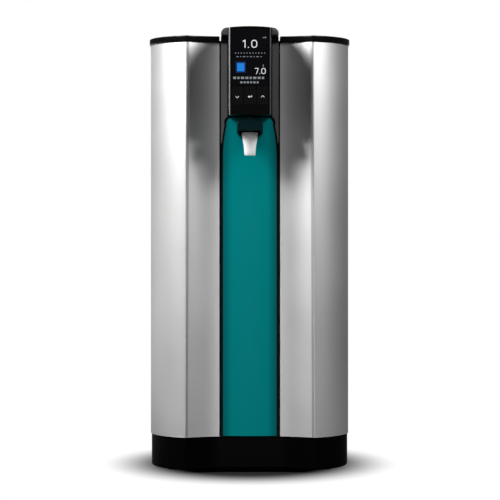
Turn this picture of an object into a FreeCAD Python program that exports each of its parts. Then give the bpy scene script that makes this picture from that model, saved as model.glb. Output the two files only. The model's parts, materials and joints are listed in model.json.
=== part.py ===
"""Bench-top ultrapure water system: a parametric document with one solid per real piece.

Frame: +Z up, the display and the spout face -Y, +X is the user's right, and the origin lies under
the middle of the whole outline on the surface that the feet stand on. Lengths are millimetres.
"""

import FreeCAD, Part
import os
import re

import Sketcher

# Driving dimensions: every independent size, each written once.
SIZES = {
    # whole casing
    "overall_depth": 350.0,
    "body_width": 239.8,
    "base_height": 42.4,
    "cover_top": 511.8,
    "cap_thickness": 7.2,
    "head_rise": 9.5,
    # plan of the front: two wings, each with a vertical ridge, on both sides of a recessed column
    "head_overhang": 30.0,
    "ridge_top_x": 74.4,
    "ridge_foot_x": 76.4,
    "ridge_setback": 14.0,
    "side_run": 66.0,
    "edge_x": 36.2,
    "inner_bow": 71.0,
    "ridge_wall_ratio": 1.15,
    # side covers and their pivots
    "cover_wall": 3.0,
    "cover_gap": 0.6,
    "cut_margin": 1.0,
    "flange_depth": 14.0,
    "pivot_radius": 4.5,
    "pin_radius": 2.0,
    "pin_clearance": 0.05,
    "pin_depth": 12.0,
    "pin_end_gap": 0.6,
    "ear_reach": 9.0,
    "magnet_height": 20.0,
    "magnet_depth": 8.0,
    "magnet_gap": 0.3,
    "magnet_setback": 3.5,
    "magnet_low_z": 150.0,
    "magnet_high_z": 380.0,
    # base
    "tray_lift": 4.0,
    "tray_inset": 1.2,
    "tray_wall": 3.5,
    "tray_floor": 3.0,
    "tray_edge": 3.0,
    "deck_thickness": 2.0,
    "deck_recess": 2.0,
    "deck_clearance": 0.3,
    "foot_radius": 11.0,
    "foot_side_inset": 31.9,
    "foot_front_inset": 53.0,
    "foot_rear_inset": 28.0,
    "foot_stem": 4.0,
    "foot_stem_radius": 5.5,
    # caps over the covers and the column
    "cap_overhang": 1.6,
    "cap_round": 2.4,
    "cap_corner": 5.0,
    "cap_groove": 1.7,
    "cap_pocket": 4.4,
    "cap_inner_gap": 0.1,
    "cap_rim": 14.0,
    "cap_rear_rim": 20.0,
    "cap_bead": 4.0,
    "plate_thickness": 2.0,
    # recessed column between the wings
    "column_half": 34.4,
    "column_wall": 3.0,
    "column_depth": 33.5,
    "column_foot_gap": 1.0,
    "cover_plate": 2.5,
    "horn_foot_z": 392.0,
    # coloured front panel
    "panel_half": 31.9,
    "panel_top": 422.5,
    "panel_crown": 2.0,
    "panel_edge": 0.4,
    "shoulder_z": 375.0,
    "shoulder_top_z": 413.0,
    "shoulder_x": 27.6,
    "shoulder_sweep": 170.0,
    "panel_corner_x": 22.0,
    "panel_corner": 8.5,
    "panel_foot_gap": 1.2,
    "gasket_width": 2.3,
    "gasket_sink": 0.4,
    "gasket_foot_gap": 0.1,
    # head with display and keys
    "pod_half": 26.0,
    "pod_gap": 1.0,
    "pod_drop": 1.6,
    "pod_wall": 2.6,
    "pod_round": 3.2,
    "head_half": 34.0,
    "head_corner": 7.0,
    "head_crown": 1.5,
    "head_slope_start": 40.0,
    "head_tail": 4.0,
    "head_roof": 4.6,
    "cable_sink": 19.8,
    "cable_half": 6.0,
    "cable_thickness": 0.8,
    "cable_drop": 62.0,
    "cable_standoff": 6.0,
    "slot_margin": 2.0,
    "head_start": 15.0,
    "head_length": 78.0,
    "head_wall": 2.6,
    "fascia_thickness": 4.0,
    "fascia_chin": 11.0,
    "fascia_brow": 2.0,
    "glass_half": 22.4,
    "glass_sink": 0.5,
    "glass_thickness": 1.6,
    "fit_gap": 0.25,
    "keypad_height": 22.6,
    "key_travel": 0.8,
    "key_gap": 0.5,
    "key_rest": 0.1,
    "key_thickness": 2.6,
    "mat_thickness": 1.4,
    "board_thickness": 1.6,
    "board_margin": 0.6,
    "board_post_radius": 3.0,
    "board_post_x": 17.0,
    "board_post_inset": 5.0,
    "board_post_lift": 6.0,
    "module_brow": 10.0,
    "module_margin": 1.0,
    "screw_radius": 1.25,
    "screw_head_radius": 2.4,
    "screw_head_height": 1.2,
    "screw_bite": 5.0,
    "screw_spare": 2.0,
    # spout
    "hood_half": 15.2,
    "hood_apex": 421.3,
    "hood_eaves": 414.8,
    "hood_foot": 400.0,
    "hood_front_edge": 405.0,
    "hood_reach": 38.5,
    "hood_shoulder": 3.5,
    "hood_shoulder_rise": 1.2,
    "hood_round": 5.0,
    "hood_crest": 3.6,
    "hood_corner": 2.4,
    "hood_ridge_half": 1.6,
    "hood_ridge_drop": 0.4,
    "hood_wall": 2.6,
    "hood_ceiling": 409.5,
    "stem_radius": 6.0,
    "stem_z": 412.0,
    "stem_tail": 8.0,
    "channel_radius": 2.0,
    "channel_rise": 1.4,
    "nozzle_inset": 16.5,
    "nozzle_boss_radius": 9.4,
    "nozzle_top": 403.3,
    "nozzle_top_radius": 9.6,
    "nozzle_waist_z": 393.0,
    "nozzle_waist_radius": 8.3,
    "nozzle_neck_z": 387.0,
    "nozzle_neck_radius": 7.2,
    "nozzle_foot": 376.3,
    "nozzle_foot_radius": 6.5,
    "nozzle_bore": 2.4,
    "nozzle_spigot": 5.0,
    "nozzle_spigot_height": 5.4,
    "nozzle_clearance": 0.05,
    "nozzle_headroom": 0.4,
    "seal_height": 0.9,
    "seal_gap": 0.1,
    "seal_play": 0.4,
    "seal_width": 3.0,
    "tube_radius": 3.0,
    "tube_wall": 1.0,
    "tube_bend": 18.0,
    "tube_seat": 2.0,
    # rear wall and its connections
    "rear_reach": 15.0,
    "sheet": 1.5,
    "rear_flange": 12.0,
    "rear_side_gap": 0.8,
    "inlet_x": -62.0,
    "inlet_rise": 49.6,
    "inlet_half_width": 13.8,
    "inlet_half_height": 10.0,
    "inlet_flange_half": 25.0,
    "inlet_flange_height": 11.5,
    "inlet_flange": 2.5,
    "inlet_depth": 26.0,
    "inlet_mouth_half_width": 12.2,
    "inlet_mouth_half_height": 8.2,
    "inlet_mouth_depth": 21.0,
    "inlet_pin_length": 15.0,
    "inlet_pin_half_width": 1.0,
    "inlet_pin_half_height": 2.0,
    "inlet_pin_pitch": 7.0,
    "inlet_earth_rise": 3.0,
    "rocker_x": -20.0,
    "rocker_half_width": 6.6,
    "rocker_half_height": 10.4,
    "rocker_frame": 2.2,
    "rocker_frame_out": 2.0,
    "rocker_depth": 16.0,
    "rocker_wall": 1.0,
    "rocker_floor": 4.0,
    "rocker_axis_in": 1.0,
    "rocker_key_half": 9.2,
    "rocker_proud": 4.6,
    "rocker_dip": 1.4,
    "rocker_back": 3.0,
    "rocker_hollow": 2.0,
    "rocker_taper": 2.0,
    "trunnion_radius": 1.2,
    "trunnion_reach": 0.8,
    "port_rise": 85.6,
    "port_first_x": 32.0,
    "port_pitch": 26.0,
    "port_radius": 8.5,
    "port_flange_radius": 10.5,
    "port_flange": 2.5,
    "port_bore": 4.0,
    "port_bore_depth": 17.0,
    "port_inside": 14.0,
    "port_thread": 7.0,
    "port_nut_radius": 10.5,
    "port_nut_height": 4.0,
    "valve_x": 58.0,
    "valve_rise": 31.6,
    "valve_radius": 7.5,
    "valve_spout_radius": 5.0,
    "valve_spout_bore": 3.5,
    "valve_body_out": 10.0,
    "valve_inside": 12.0,
    "lever_length": 24.0,
    "lever_half_width": 3.5,
    "lever_thickness": 2.5,
    "lever_gap": 0.3,
    "lever_hub": 4.5,
    "lever_spindle": 2.0,
    "spindle_lift": 1.0,
    "vent_half": 34.0,
    "vent_height": 3.0,
    "vent_pitch": 8.0,
    "vent_top_gap": 25.8,
    "vent_count": 9.0,
    "rear_screw_inset": 6.1,
    "rear_screw_foot": 10.6,
    "rear_screw_drop": 13.8,
    "rear_screw_radius": 1.8,
    "rear_screw_head": 3.4,
    "rear_screw_rise": 1.8,
    "rear_screw_length": 7.0,
    # water reservoir with its level sensor
    "tank_side_gap": 4.0,
    "tank_front_gap": 30.0,
    "tank_rear_gap": 27.5,
    "cradle_height": 14.6,
    "tank_headroom": 41.8,
    "tank_wall": 2.5,
    "tank_round": 9.0,
    "tank_lid": 6.0,
    "cradle_wall": 2.0,
    "cradle_inset": 6.0,
    "rod_x": 40.0,
    "rod_radius": 3.0,
    "rod_foot_radius": 7.0,
    "float_radius": 14.0,
    "float_height": 26.0,
    "float_clearance": 0.3,
    "float_stop": 4.0,
    "breather_x": -35.0,
    "breather_radius": 18.0,
    "breather_height": 26.0,
    "breather_neck": 7.0,
    # purification cartridges and their heads
    "cartridge_side_gap": 8.4,
    "cartridge_setback": 69.0,
    "cartridge_radius": 32.0,
    "cartridge_lift": 44.6,
    "cartridge_headroom": 125.8,
    "cartridge_round": 8.0,
    "cartridge_neck": 16.0,
    "cartridge_neck_height": 14.0,
    "grip_count": 18.0,
    "grip_radius": 2.0,
    "grip_height": 40.0,
    "socket_radius": 27.0,
    "socket_height": 34.0,
    "socket_gap": 0.4,
    "socket_clearance": 0.05,
    "bracket_rear_margin": 2.0,
    "bracket_side_margin": 0.5,
    # lamp, ultrafilter and pump in the middle
    "lamp_setback": 29.0,
    "lamp_radius": 15.0,
    "lamp_lift": 88.6,
    "lamp_headroom": 26.4,
    "lamp_cap_radius": 18.0,
    "lamp_cap_height": 16.0,
    "filter_setback": 46.0,
    "filter_radius": 19.0,
    "filter_lift": 110.6,
    "filter_headroom": 88.4,
    "filter_port": 9.0,
    "filter_port_radius": 6.0,
    "clip_low_rise": 26.0,
    "clip_high_drop": 34.0,
    "clip_height": 10.0,
    "clip_margin": 3.5,
    "pump_x": -44.0,
    "pump_setback": 29.0,
    "pump_lift": 26.6,
    "pump_radius": 24.0,
    "pump_length": 34.0,
    "motor_radius": 21.0,
    "motor_length": 52.0,
    "saddle_half": 17.0,
    "saddle_height": 14.0,
    "saddle_margin": 6.0,
    # electronics and small hydraulics
    "supply_side_gap": 6.9,
    "supply_width": 28.0,
    "supply_front_gap": 16.0,
    "supply_rear_gap": 14.5,
    "supply_height": 150.0,
    "carrier_gap": 5.0,
    "carrier_front_gap": 10.0,
    "carrier_rear_gap": 18.5,
    "carrier_headroom": 109.8,
    "standoff": 6.0,
    "standoff_radius": 3.0,
    "circuit_height": 170.0,
    "circuit_drop": 20.0,
    "circuit_margin": 8.0,
    "chip_height": 9.0,
    "chip_inset": 12.0,
    "chip_length": 20.0,
    "chip_rise": 48.0,
    "relay_side": 28.0,
    "solenoid_half_width": 15.0,
    "solenoid_length": 46.0,
    "solenoid_height": 20.0,
    "coil_radius": 9.0,
    "coil_height": 14.0,
    "cell_radius": 8.0,
    "cell_length": 44.0,
}

# Places worked out from the driving dimensions.
PLACES = {
    "side_x": "body_width / 2",
    "front_y": "-overall_depth / 2",
    "rear_y": "overall_depth / 2",
    "back_y": "rear_y - rear_reach",
    "ridge_y": "front_y + head_overhang",
    "face_y": "ridge_y + ridge_setback",
    "tangent_y": "ridge_y + side_run",
    "pivot_x": "side_x - pivot_radius",
    "pivot_y": "back_y - pivot_radius",
    "door_foot": "base_height + cover_gap",
    "door_top": "cover_top - cover_gap",
    "cap_top": "cover_top + cap_thickness",
    "head_top": "cap_top + head_rise",
    "cap_inner_x": "edge_x - cap_inner_gap",
    "cap_rear_y": "back_y + cap_overhang",
    "deck_top": "base_height - deck_recess",
    "deck_foot": "deck_top - deck_thickness",
    "foot_x": "side_x - foot_side_inset",
    "foot_front_y": "ridge_y + foot_front_inset",
    "foot_rear_y": "back_y - foot_rear_inset",
    "tray_inner": "tray_inset + tray_wall",
    "tray_top_floor": "tray_lift + tray_floor",
    "column_front_y": "face_y + cover_plate",
    "column_back_y": "column_front_y + column_depth",
    "column_inner": "column_half - column_wall",
    "panel_front_y": "face_y - panel_crown",
    "panel_foot": "base_height + panel_foot_gap",
    "plate_foot": "cover_top - plate_thickness",
    "head_cable_z": "plate_foot - cable_sink",
    "pod_foot": "panel_top + pod_gap",
    "pod_top": "head_top - pod_drop",
    "fascia_back_y": "front_y + fascia_thickness",
    "keypad_foot": "pod_foot + fascia_chin",
    "keypad_top": "keypad_foot + keypad_height",
    "window_top": "pod_top - fascia_brow",
    "key_front_y": "front_y + glass_sink",
    "key_back_y": "key_front_y + key_thickness",
    "mat_front_y": "key_back_y + key_travel + key_rest",
    "board_front_y": "mat_front_y + mat_thickness",
    "board_back_y": "board_front_y + board_thickness",
    "key_pitch": "2 * glass_half / 3",
    "head_front_y": "fascia_back_y + head_start",
    "head_rear_y": "head_front_y + head_length",
    "pod_inner_y": "face_y - pod_wall",
    "cable_y": "column_front_y + column_wall + cable_standoff",
    "module_top": "window_top - module_brow",
    "post_low_z": "pod_foot + board_post_lift",
    "post_high_z": "window_top - board_post_inset",
    "hood_front_y": "panel_front_y - hood_reach",
    "nozzle_y": "hood_front_y + nozzle_inset",
    "stem_end_y": "column_front_y + column_wall + stem_tail",
    "channel_z": "stem_z + channel_rise",
    "seal_foot": "nozzle_top + seal_gap",
    "boss_foot": "seal_foot + seal_height",
    "rear_half": "pivot_x - pivot_radius - rear_side_gap",
    "rear_inner_y": "back_y - sheet",
    "rear_screw_x": "rear_half - rear_screw_inset",
    "rear_screw_low": "base_height + rear_screw_foot",
    "rear_screw_high": "plate_foot - rear_screw_drop",
    "vent_top_z": "plate_foot - vent_top_gap",
    "inlet_z": "base_height + inlet_rise",
    "port_z": "base_height + port_rise",
    "valve_z": "base_height + valve_rise",
    "rocker_axis_y": "back_y - rocker_axis_in",
    "recess_floor_y": "back_y + inlet_flange - inlet_mouth_depth",
    "valve_axis_y": "back_y + valve_body_out / 2",
    "lever_foot": "valve_z + valve_radius + lever_gap",
    "cartridge_x": "side_x - cover_wall - cartridge_radius - cartridge_side_gap",
    "cartridge_y": "column_back_y + cartridge_setback",
    "cartridge_foot": "deck_top + cartridge_lift",
    "cartridge_top": "plate_foot - cartridge_headroom",
    "socket_foot": "cartridge_top + socket_gap",
    "bracket_foot": "socket_foot + socket_height",
    "bracket_top": "bracket_foot + plate_thickness",
    "bracket_rear_y": "cartridge_y + cartridge_radius + bracket_rear_margin",
    "bracket_side_x": "cartridge_x + socket_radius + bracket_side_margin",
    "lamp_y": "column_back_y + lamp_setback",
    "lamp_foot": "deck_top + lamp_lift",
    "lamp_top": "bracket_foot - lamp_headroom",
    "filter_y": "lamp_y + filter_setback",
    "filter_foot": "deck_top + filter_lift",
    "filter_top": "bracket_foot - filter_headroom",
    "filter_arm": "filter_radius + clip_margin",
    "clip_low_z": "filter_foot + clip_low_rise",
    "clip_high_z": "filter_top - clip_high_drop",
    "pump_y": "column_back_y + pump_setback",
    "pump_z": "deck_top + pump_lift",
    "supply_side_x": "side_x - cover_wall - supply_side_gap",
    "supply_front_y": "bracket_rear_y + supply_front_gap",
    "supply_rear_y": "rear_inner_y - supply_rear_gap",
    "tank_half": "supply_side_x - supply_width - tank_side_gap",
    "tank_front_y": "bracket_rear_y + tank_front_gap",
    "tank_rear_y": "rear_inner_y - tank_rear_gap",
    "tank_mid_y": "(tank_front_y + tank_rear_y) / 2",
    "tank_foot": "deck_top + cradle_height",
    "tank_top": "plate_foot - tank_headroom",
    "float_foot": "tank_foot + tank_wall + float_stop",
    "carrier_x": "tank_half + carrier_gap",
    "carrier_back_x": "carrier_x + sheet",
    "carrier_front_y": "bracket_rear_y + carrier_front_gap",
    "carrier_rear_y": "rear_inner_y - carrier_rear_gap",
    "carrier_top": "plate_foot - carrier_headroom",
    "circuit_x": "carrier_back_x + standoff",
    "circuit_top": "carrier_top - circuit_drop",
    "circuit_foot": "circuit_top - circuit_height",
}

PLANE_ROLES = {"XY": "XY_Plane", "XZ": "XZ_Plane", "YZ": "YZ_Plane"}
AXIS_TURNS = {
    "X": FreeCAD.Rotation(FreeCAD.Vector(0, 1, 0), 90),
    "Y": FreeCAD.Rotation(FreeCAD.Vector(1, 0, 0), -90),
    "Z": FreeCAD.Rotation(),
}
SAME_PLACE = 1e-4

doc = FreeCAD.newDocument("UltrapureWaterSystem")
sizes = doc.addObject("Spreadsheet::Sheet", "Sizes")
places = doc.addObject("Spreadsheet::Sheet", "Places")
pieces = {}


# ---- expressions and sketches ------------------------------------------------------------------

def bound(expression):
    """The expression with each named size or place pointed at its sheet."""
    def point(match):
        word = match.group(0)
        if word in SIZES:
            return "Sizes." + word
        if word in PLACES:
            return "Places." + word
        return word
    return re.sub(r"[a-z][a-z_]*", point, str(expression))


def number(expression):
    """What an expression of named sizes comes to now."""
    return float(places.evalExpression(bound(expression)))


def fill_sheets():
    """Write the driving dimensions as plain numbers and the worked-out places as formulas."""
    for row, (name, value) in enumerate(SIZES.items(), start=1):
        sizes.set(f"A{row}", str(value))
        sizes.setAlias(f"A{row}", name)
    doc.recompute()
    for row, (name, formula) in enumerate(PLACES.items(), start=1):
        places.set(f"A{row}", "=" + bound(formula).replace("Places.", ""))
        places.setAlias(f"A{row}", name)
    doc.recompute()


def keep(label, thing):
    """Name a finished piece."""
    thing.Label = label
    pieces[label] = thing
    return thing


def mirrored(path):
    """The same path on the other side of the YZ plane."""
    return [(f"-({p[0]})", p[1]) + tuple(f"-({r})" for r in p[2:]) for p in path]


def pin_vertex(sketch, geometry, end, x, y):
    """Hold one point of a sketch at two expressions."""
    for kind, expression in (("DistanceX", x), ("DistanceY", y)):
        index = sketch.addConstraint(
            Sketcher.Constraint(kind, -1, 1, geometry, end, number(expression)))
        sketch.setExpression(f"Constraints[{index}]", bound(expression))


def set_radius(sketch, geometry, radius):
    """Hold the radius of a circle or an arc at an expression."""
    index = sketch.addConstraint(Sketcher.Constraint("Radius", geometry, abs(number(radius))))
    sketch.setExpression(f"Constraints[{index}]", bound(f"abs({radius})"))


def draw_circle(sketch, x, y, radius):
    """A full circle at two expressions."""
    centre = FreeCAD.Vector(number(x), number(y), 0)
    circle = Part.Circle(centre, FreeCAD.Vector(0, 0, 1), number(radius))
    index = sketch.addGeometry(circle)
    pin_vertex(sketch, index, 3, x, y)
    set_radius(sketch, index, radius)


def draw_path(sketch, path, closed=True):
    """A path. A point with a third value is reached by an arc: its centre lies to the left of the
    way there for a positive radius, and to the right for a negative one."""
    points = [FreeCAD.Vector(number(p[0]), number(p[1]), 0) for p in path]
    ends = []
    for index, stop in enumerate(path):
        if index == 0 and not closed:
            continue
        start_point = points[index - 1]
        stop_point = points[index]
        if len(stop) == 2:
            segment = sketch.addGeometry(Part.LineSegment(start_point, stop_point))
            ends.append((segment, 1, 2))
            continue
        radius = number(stop[2])
        chord = stop_point - start_point
        left = FreeCAD.Vector(-chord.y, chord.x, 0).normalize()
        height = max(radius * radius - chord.Length ** 2 / 4, 0) ** 0.5
        centre = (start_point + stop_point) * 0.5 + left * (height if radius > 0 else -height)
        first, last = (start_point, stop_point) if radius > 0 else (stop_point, start_point)
        circle = Part.Circle(centre, FreeCAD.Vector(0, 0, 1), abs(radius))
        arc = Part.ArcOfCircle(circle, circle.parameter(first), circle.parameter(last))
        segment = sketch.addGeometry(arc)
        set_radius(sketch, segment, stop[2])
        ends.append((segment, 1, 2) if radius > 0 else (segment, 2, 1))
    if not closed:
        pin_vertex(sketch, ends[0][0], ends[0][1], *path[0][:2])
    for index, (segment, start, stop) in enumerate(ends):
        before, _, before_stop = ends[index - 1]
        if closed or index > 0:
            sketch.addConstraint(
                Sketcher.Constraint("Coincident", before, before_stop, segment, start))
        pin_vertex(sketch, segment, stop, *path[index if closed else index + 1][:2])


def rectangle(x_low, x_high, y_low, y_high):
    """A closed rectangular path."""
    return [(x_low, y_low), (x_high, y_low), (x_high, y_high), (x_low, y_high)]


def rounded(x_low, x_high, y_low, y_high, radius):
    """A closed rectangular path with round corners."""
    return [
        (f"{x_high} - {radius}", y_low),
        (x_high, f"{y_low} + {radius}", radius),
        (x_high, f"{y_high} - {radius}"),
        (f"{x_high} - {radius}", y_high, radius),
        (f"{x_low} + {radius}", y_high),
        (x_low, f"{y_high} - {radius}", radius),
        (x_low, f"{y_low} + {radius}"),
        (f"{x_low} + {radius}", y_low, radius),
    ]


def sketch_on(body, plane, level, loops, closed=True):
    """A sketch on one of the body's own origin planes, moved out to a level along its axis."""
    sketch = body.newObject("Sketcher::SketchObject", "Sketch")
    support = next(f for f in body.Origin.OriginFeatures if f.Role == PLANE_ROLES[plane])
    sketch.AttachmentSupport = [(support, "")]
    sketch.MapMode = "FlatFace"
    offset = f"-({level})" if plane == "XZ" else level
    sketch.setExpression("AttachmentOffset.Base.z", bound(offset))
    for loop in loops:
        if loop[0] == "circle":
            draw_circle(sketch, *loop[1:])
        else:
            draw_path(sketch, loop, closed)
    return sketch


# ---- features ----------------------------------------------------------------------------------

def new_body():
    """An empty body."""
    return doc.addObject("PartDesign::Body", "Body")


def pad(body, plane, low, high, *loops):
    """Add what the loops enclose between two levels along the plane's axis."""
    feature = body.newObject("PartDesign::Pad", "Pad")
    feature.Profile = sketch_on(body, plane, high if plane == "XZ" else low, loops)
    feature.setExpression("Length", bound(f"({high}) - ({low})"))
    return feature


def pocket(body, plane, low, high, *loops):
    """Remove what the loops enclose between two levels along the plane's axis."""
    feature = body.newObject("PartDesign::Pocket", "Pocket")
    feature.Profile = sketch_on(body, plane, low if plane == "XZ" else high, loops)
    feature.setExpression("Length", bound(f"({high}) - ({low})"))
    return feature


def revolve(body, plane, path, axis_role):
    """Add a full turn of a path about one of the body's own axes."""
    feature = body.newObject("PartDesign::Revolution", "Revolution")
    feature.Profile = sketch_on(body, plane, "0", [path])
    axis = next(f for f in body.Origin.OriginFeatures if f.Role == axis_role)
    feature.ReferenceAxis = (axis, [""])
    feature.Angle = 360
    return feature


def flat_edges(shape, axis, level):
    """Names of the edges that lie wholly at one level along an axis."""
    names = []
    for index, edge in enumerate(shape.Edges, start=1):
        box = edge.BoundBox
        low = getattr(box, axis + "Min")
        high = getattr(box, axis + "Max")
        if abs(low - level) < SAME_PLACE and abs(high - level) < SAME_PLACE:
            names.append(f"Edge{index}")
    return names


def upright_edges(shape, axis, corners):
    """Names of the straight edges along an axis that pass through the given corners."""
    across = [a for a in "XYZ" if a != axis]
    names = []
    for index, edge in enumerate(shape.Edges, start=1):
        box = edge.BoundBox
        spread = [getattr(box, a + "Max") - getattr(box, a + "Min") for a in across]
        if max(spread) > SAME_PLACE:
            continue
        here = [getattr(box, a + "Min") for a in across]
        for corner in corners:
            if max(abs(here[0] - corner[0]), abs(here[1] - corner[1])) < SAME_PLACE:
                names.append(f"Edge{index}")
    return names


def soften(body, kind, size, names):
    """Fillet or chamfer the named edges of the body as it stands."""
    base = body.Tip
    feature = body.newObject("PartDesign::" + kind, kind)
    feature.Base = (base, names)
    feature.setExpression("Radius" if kind == "Fillet" else "Size", bound(size))
    return feature


def block(x_low, x_high, y_low, y_high, z_low, z_high):
    """A box between six expressions."""
    box = doc.addObject("Part::Box", "Block")
    spans = (("Length", "x", x_low, x_high), ("Width", "y", y_low, y_high),
             ("Height", "z", z_low, z_high))
    for size, axis, low, high in spans:
        box.setExpression(size, bound(f"({high}) - ({low})"))
        box.setExpression(f"Placement.Base.{axis}", bound(low))
    return box


def rod(axis, x, y, z, radius, length):
    """A cylinder that starts at a point and runs along +X, +Y or +Z."""
    cylinder = doc.addObject("Part::Cylinder", "Rod")
    cylinder.Placement = FreeCAD.Placement(FreeCAD.Vector(), AXIS_TURNS[axis])
    for name, place in zip("xyz", (x, y, z)):
        cylinder.setExpression(f"Placement.Base.{name}", bound(place))
    cylinder.setExpression("Radius", bound(radius))
    cylinder.setExpression("Height", bound(length))
    return cylinder


def fuse(*things):
    """One solid out of several that meet."""
    joined = doc.addObject("Part::MultiFuse", "Fusion")
    joined.Shapes = list(things)
    joined.Refine = True
    return joined


def cut(base, *tools):
    """The base without its tools."""
    removed = doc.addObject("Part::Cut", "Cut")
    removed.Base = base
    removed.Tool = tools[0] if len(tools) == 1 else fuse(*tools)
    removed.Refine = True
    return removed


def group(*things):
    """Identical loose solids as one piece."""
    collection = doc.addObject("Part::Compound", "Group")
    collection.Links = list(things)
    return collection


# ---- plan outlines of the casing ---------------------------------------------------------------

def wing_radius(side, ridge, run):
    """Radius of the arc that meets the side tangentially and ends on the ridge."""
    return f"((({side}) - ({ridge}))^2 + ({run})^2) / (2 * (({side}) - ({ridge})))"


def cover_section(ridge):
    """Thin J-shaped section of the right side cover, with its ridge at the given place."""
    outer = wing_radius("side_x", ridge, "side_run")
    return [
        ("side_x", "pivot_y"),
        ("side_x", "tangent_y"),
        (ridge, "ridge_y", f"-({outer})"),
        ("edge_x", "face_y", "inner_bow"),
        ("edge_x", "face_y + flange_depth"),
        ("edge_x + cover_wall", "face_y + flange_depth"),
        ("edge_x + cover_wall", "face_y + cover_wall"),
        (ridge, "ridge_y + cover_wall * ridge_wall_ratio", "-(inner_bow + cover_wall)"),
        ("side_x - cover_wall", "tangent_y", f"({outer}) - cover_wall"),
        ("side_x - cover_wall", "pivot_y"),
    ]


def casing_outline(inset):
    """Whole plan of the casing: both wings and the column's recess, drawn in by an inset."""
    side = f"side_x - ({inset})"
    front = f"ridge_y + ({inset})"
    outer = wing_radius(side, "ridge_foot_x", f"side_run - ({inset})")
    bow = f"inner_bow + ({inset})"
    face = f"face_y + ({inset})"
    rear = f"back_y - ({inset}) + tray_inset"
    return [
        (f"-({side})", rear),
        (f"-({side})", "tangent_y"),
        ("-ridge_foot_x", front, outer),
        ("-edge_x", face, f"-({bow})"),
        ("edge_x", face),
        ("ridge_foot_x", front, f"-({bow})"),
        (side, "tangent_y", outer),
        (side, rear),
    ]


def cap_outline():
    """Plan of the right cap, which stands out all round its cover."""
    side = "side_x + cap_overhang"
    outer = wing_radius(side, "ridge_top_x", "side_run + cap_overhang")
    return [
        ("cap_inner_x", "cap_rear_y"),
        ("cap_inner_x", "face_y - cap_overhang"),
        ("ridge_top_x", "ridge_y - cap_overhang", "-inner_bow"),
        (side, "tangent_y", outer),
        (side, "cap_rear_y - cap_corner"),
        (f"{side} - cap_corner", "cap_rear_y", "cap_corner"),
    ]


def panel_outline(grow, foot):
    """Front view of the coloured panel, with shoulders, grown all round by a margin."""
    half = f"panel_half + {grow}"
    shoulder = f"shoulder_x + {grow}"
    corner = f"panel_corner_x + {grow} / 2"
    top = f"panel_top + {grow}"
    sweep = f"shoulder_sweep + {grow}"
    return [
        (f"-({corner})", top),
        (f"-({shoulder})", "shoulder_top_z", "panel_corner"),
        (f"-({half})", "shoulder_z", sweep),
        (f"-({half})", foot),
        (half, foot),
        (half, "shoulder_z"),
        (shoulder, "shoulder_top_z", sweep),
        (corner, top, "panel_corner"),
    ]


# ---- base --------------------------------------------------------------------------------------

def foot_places():
    """The four feet, as pairs of expressions."""
    return [(x, y) for x in ("foot_x", "-foot_x") for y in ("foot_front_y", "foot_rear_y")]


def make_base():
    """The tray that everything stands in, its four feet and the deck plate."""
    tray = new_body()
    pad(tray, "XY", "tray_lift", "base_height", casing_outline("tray_inset"))
    doc.recompute()
    soften(tray, "Fillet", "tray_edge", flat_edges(tray.Shape, "Z", number("tray_lift")))
    pocket(tray, "XY", "tray_top_floor", "base_height", casing_outline("tray_inner"))
    for side in ("pivot_x", "-pivot_x"):
        pad(tray, "XY", "tray_lift", "base_height",
            ("circle", side, "pivot_y", "pivot_radius - tray_inset"))
    pocket(tray, "XY", "base_height - pin_depth", "base_height",
           *[("circle", side, "pivot_y", "pin_radius") for side in ("pivot_x", "-pivot_x")])
    pad(tray, "XY", "tray_lift", "deck_foot",
        *[("circle", x, y, "foot_radius") for x, y in foot_places()])
    pocket(tray, "XY", "tray_lift", "tray_lift + foot_stem",
           *[("circle", x, y, "foot_stem_radius") for x, y in foot_places()])
    keep("base_tray", tray)
    feet = []
    for x, y in foot_places():
        disc = rod("Z", x, y, "0", "foot_radius", "tray_lift")
        stem = rod("Z", x, y, "tray_lift / 2", "foot_stem_radius", "tray_lift / 2 + foot_stem")
        feet.append(fuse(disc, stem))
    keep("base_feet", group(*feet))
    deck = new_body()
    pad(deck, "XY", "deck_foot", "deck_top", casing_outline("tray_inner + deck_clearance"))
    corner = "pivot_x - pivot_radius - deck_clearance"
    for low, high in ((corner, "side_x"), ("-side_x", f"-({corner})")):
        pocket(deck, "XY", "deck_foot", "deck_top",
               rectangle(low, high, "pivot_y - pivot_radius - deck_clearance", "back_y"))
    keep("deck_plate", deck)


# ---- side covers, their pivots and catches ------------------------------------------------------

def make_cover(label, turn):
    """A thin side cover that swings about pins in the round post at its rear edge."""
    cover = new_body()
    foot = sketch_on(cover, "XY", "door_foot", [turn(cover_section("ridge_foot_x"))])
    top = sketch_on(cover, "XY", "door_top", [turn(cover_section("ridge_top_x"))])
    loft = cover.newObject("PartDesign::AdditiveLoft", "Loft")
    loft.Profile = foot
    loft.Sections = [top]
    loft.Ruled = True
    axis = turn([("pivot_x", "pivot_y")])[0]
    pad(cover, "XY", "door_foot", "door_top", ("circle", *axis, "pivot_radius"))
    notch = rectangle("pivot_x - ear_reach", "side_x + cut_margin", "pivot_y - ear_reach",
                      "back_y + cut_margin")
    pocket(cover, "XY", "plate_foot - cover_gap", "cover_top", turn(notch))
    bore = ("circle", *axis, "pin_radius + pin_clearance")
    pocket(cover, "XY", "door_foot", "door_foot + pin_depth + pin_end_gap", bore)
    pocket(cover, "XY", "plate_foot - cover_gap - pin_depth - pin_end_gap",
           "plate_foot - cover_gap", bore)
    keep(label, cover)


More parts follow.
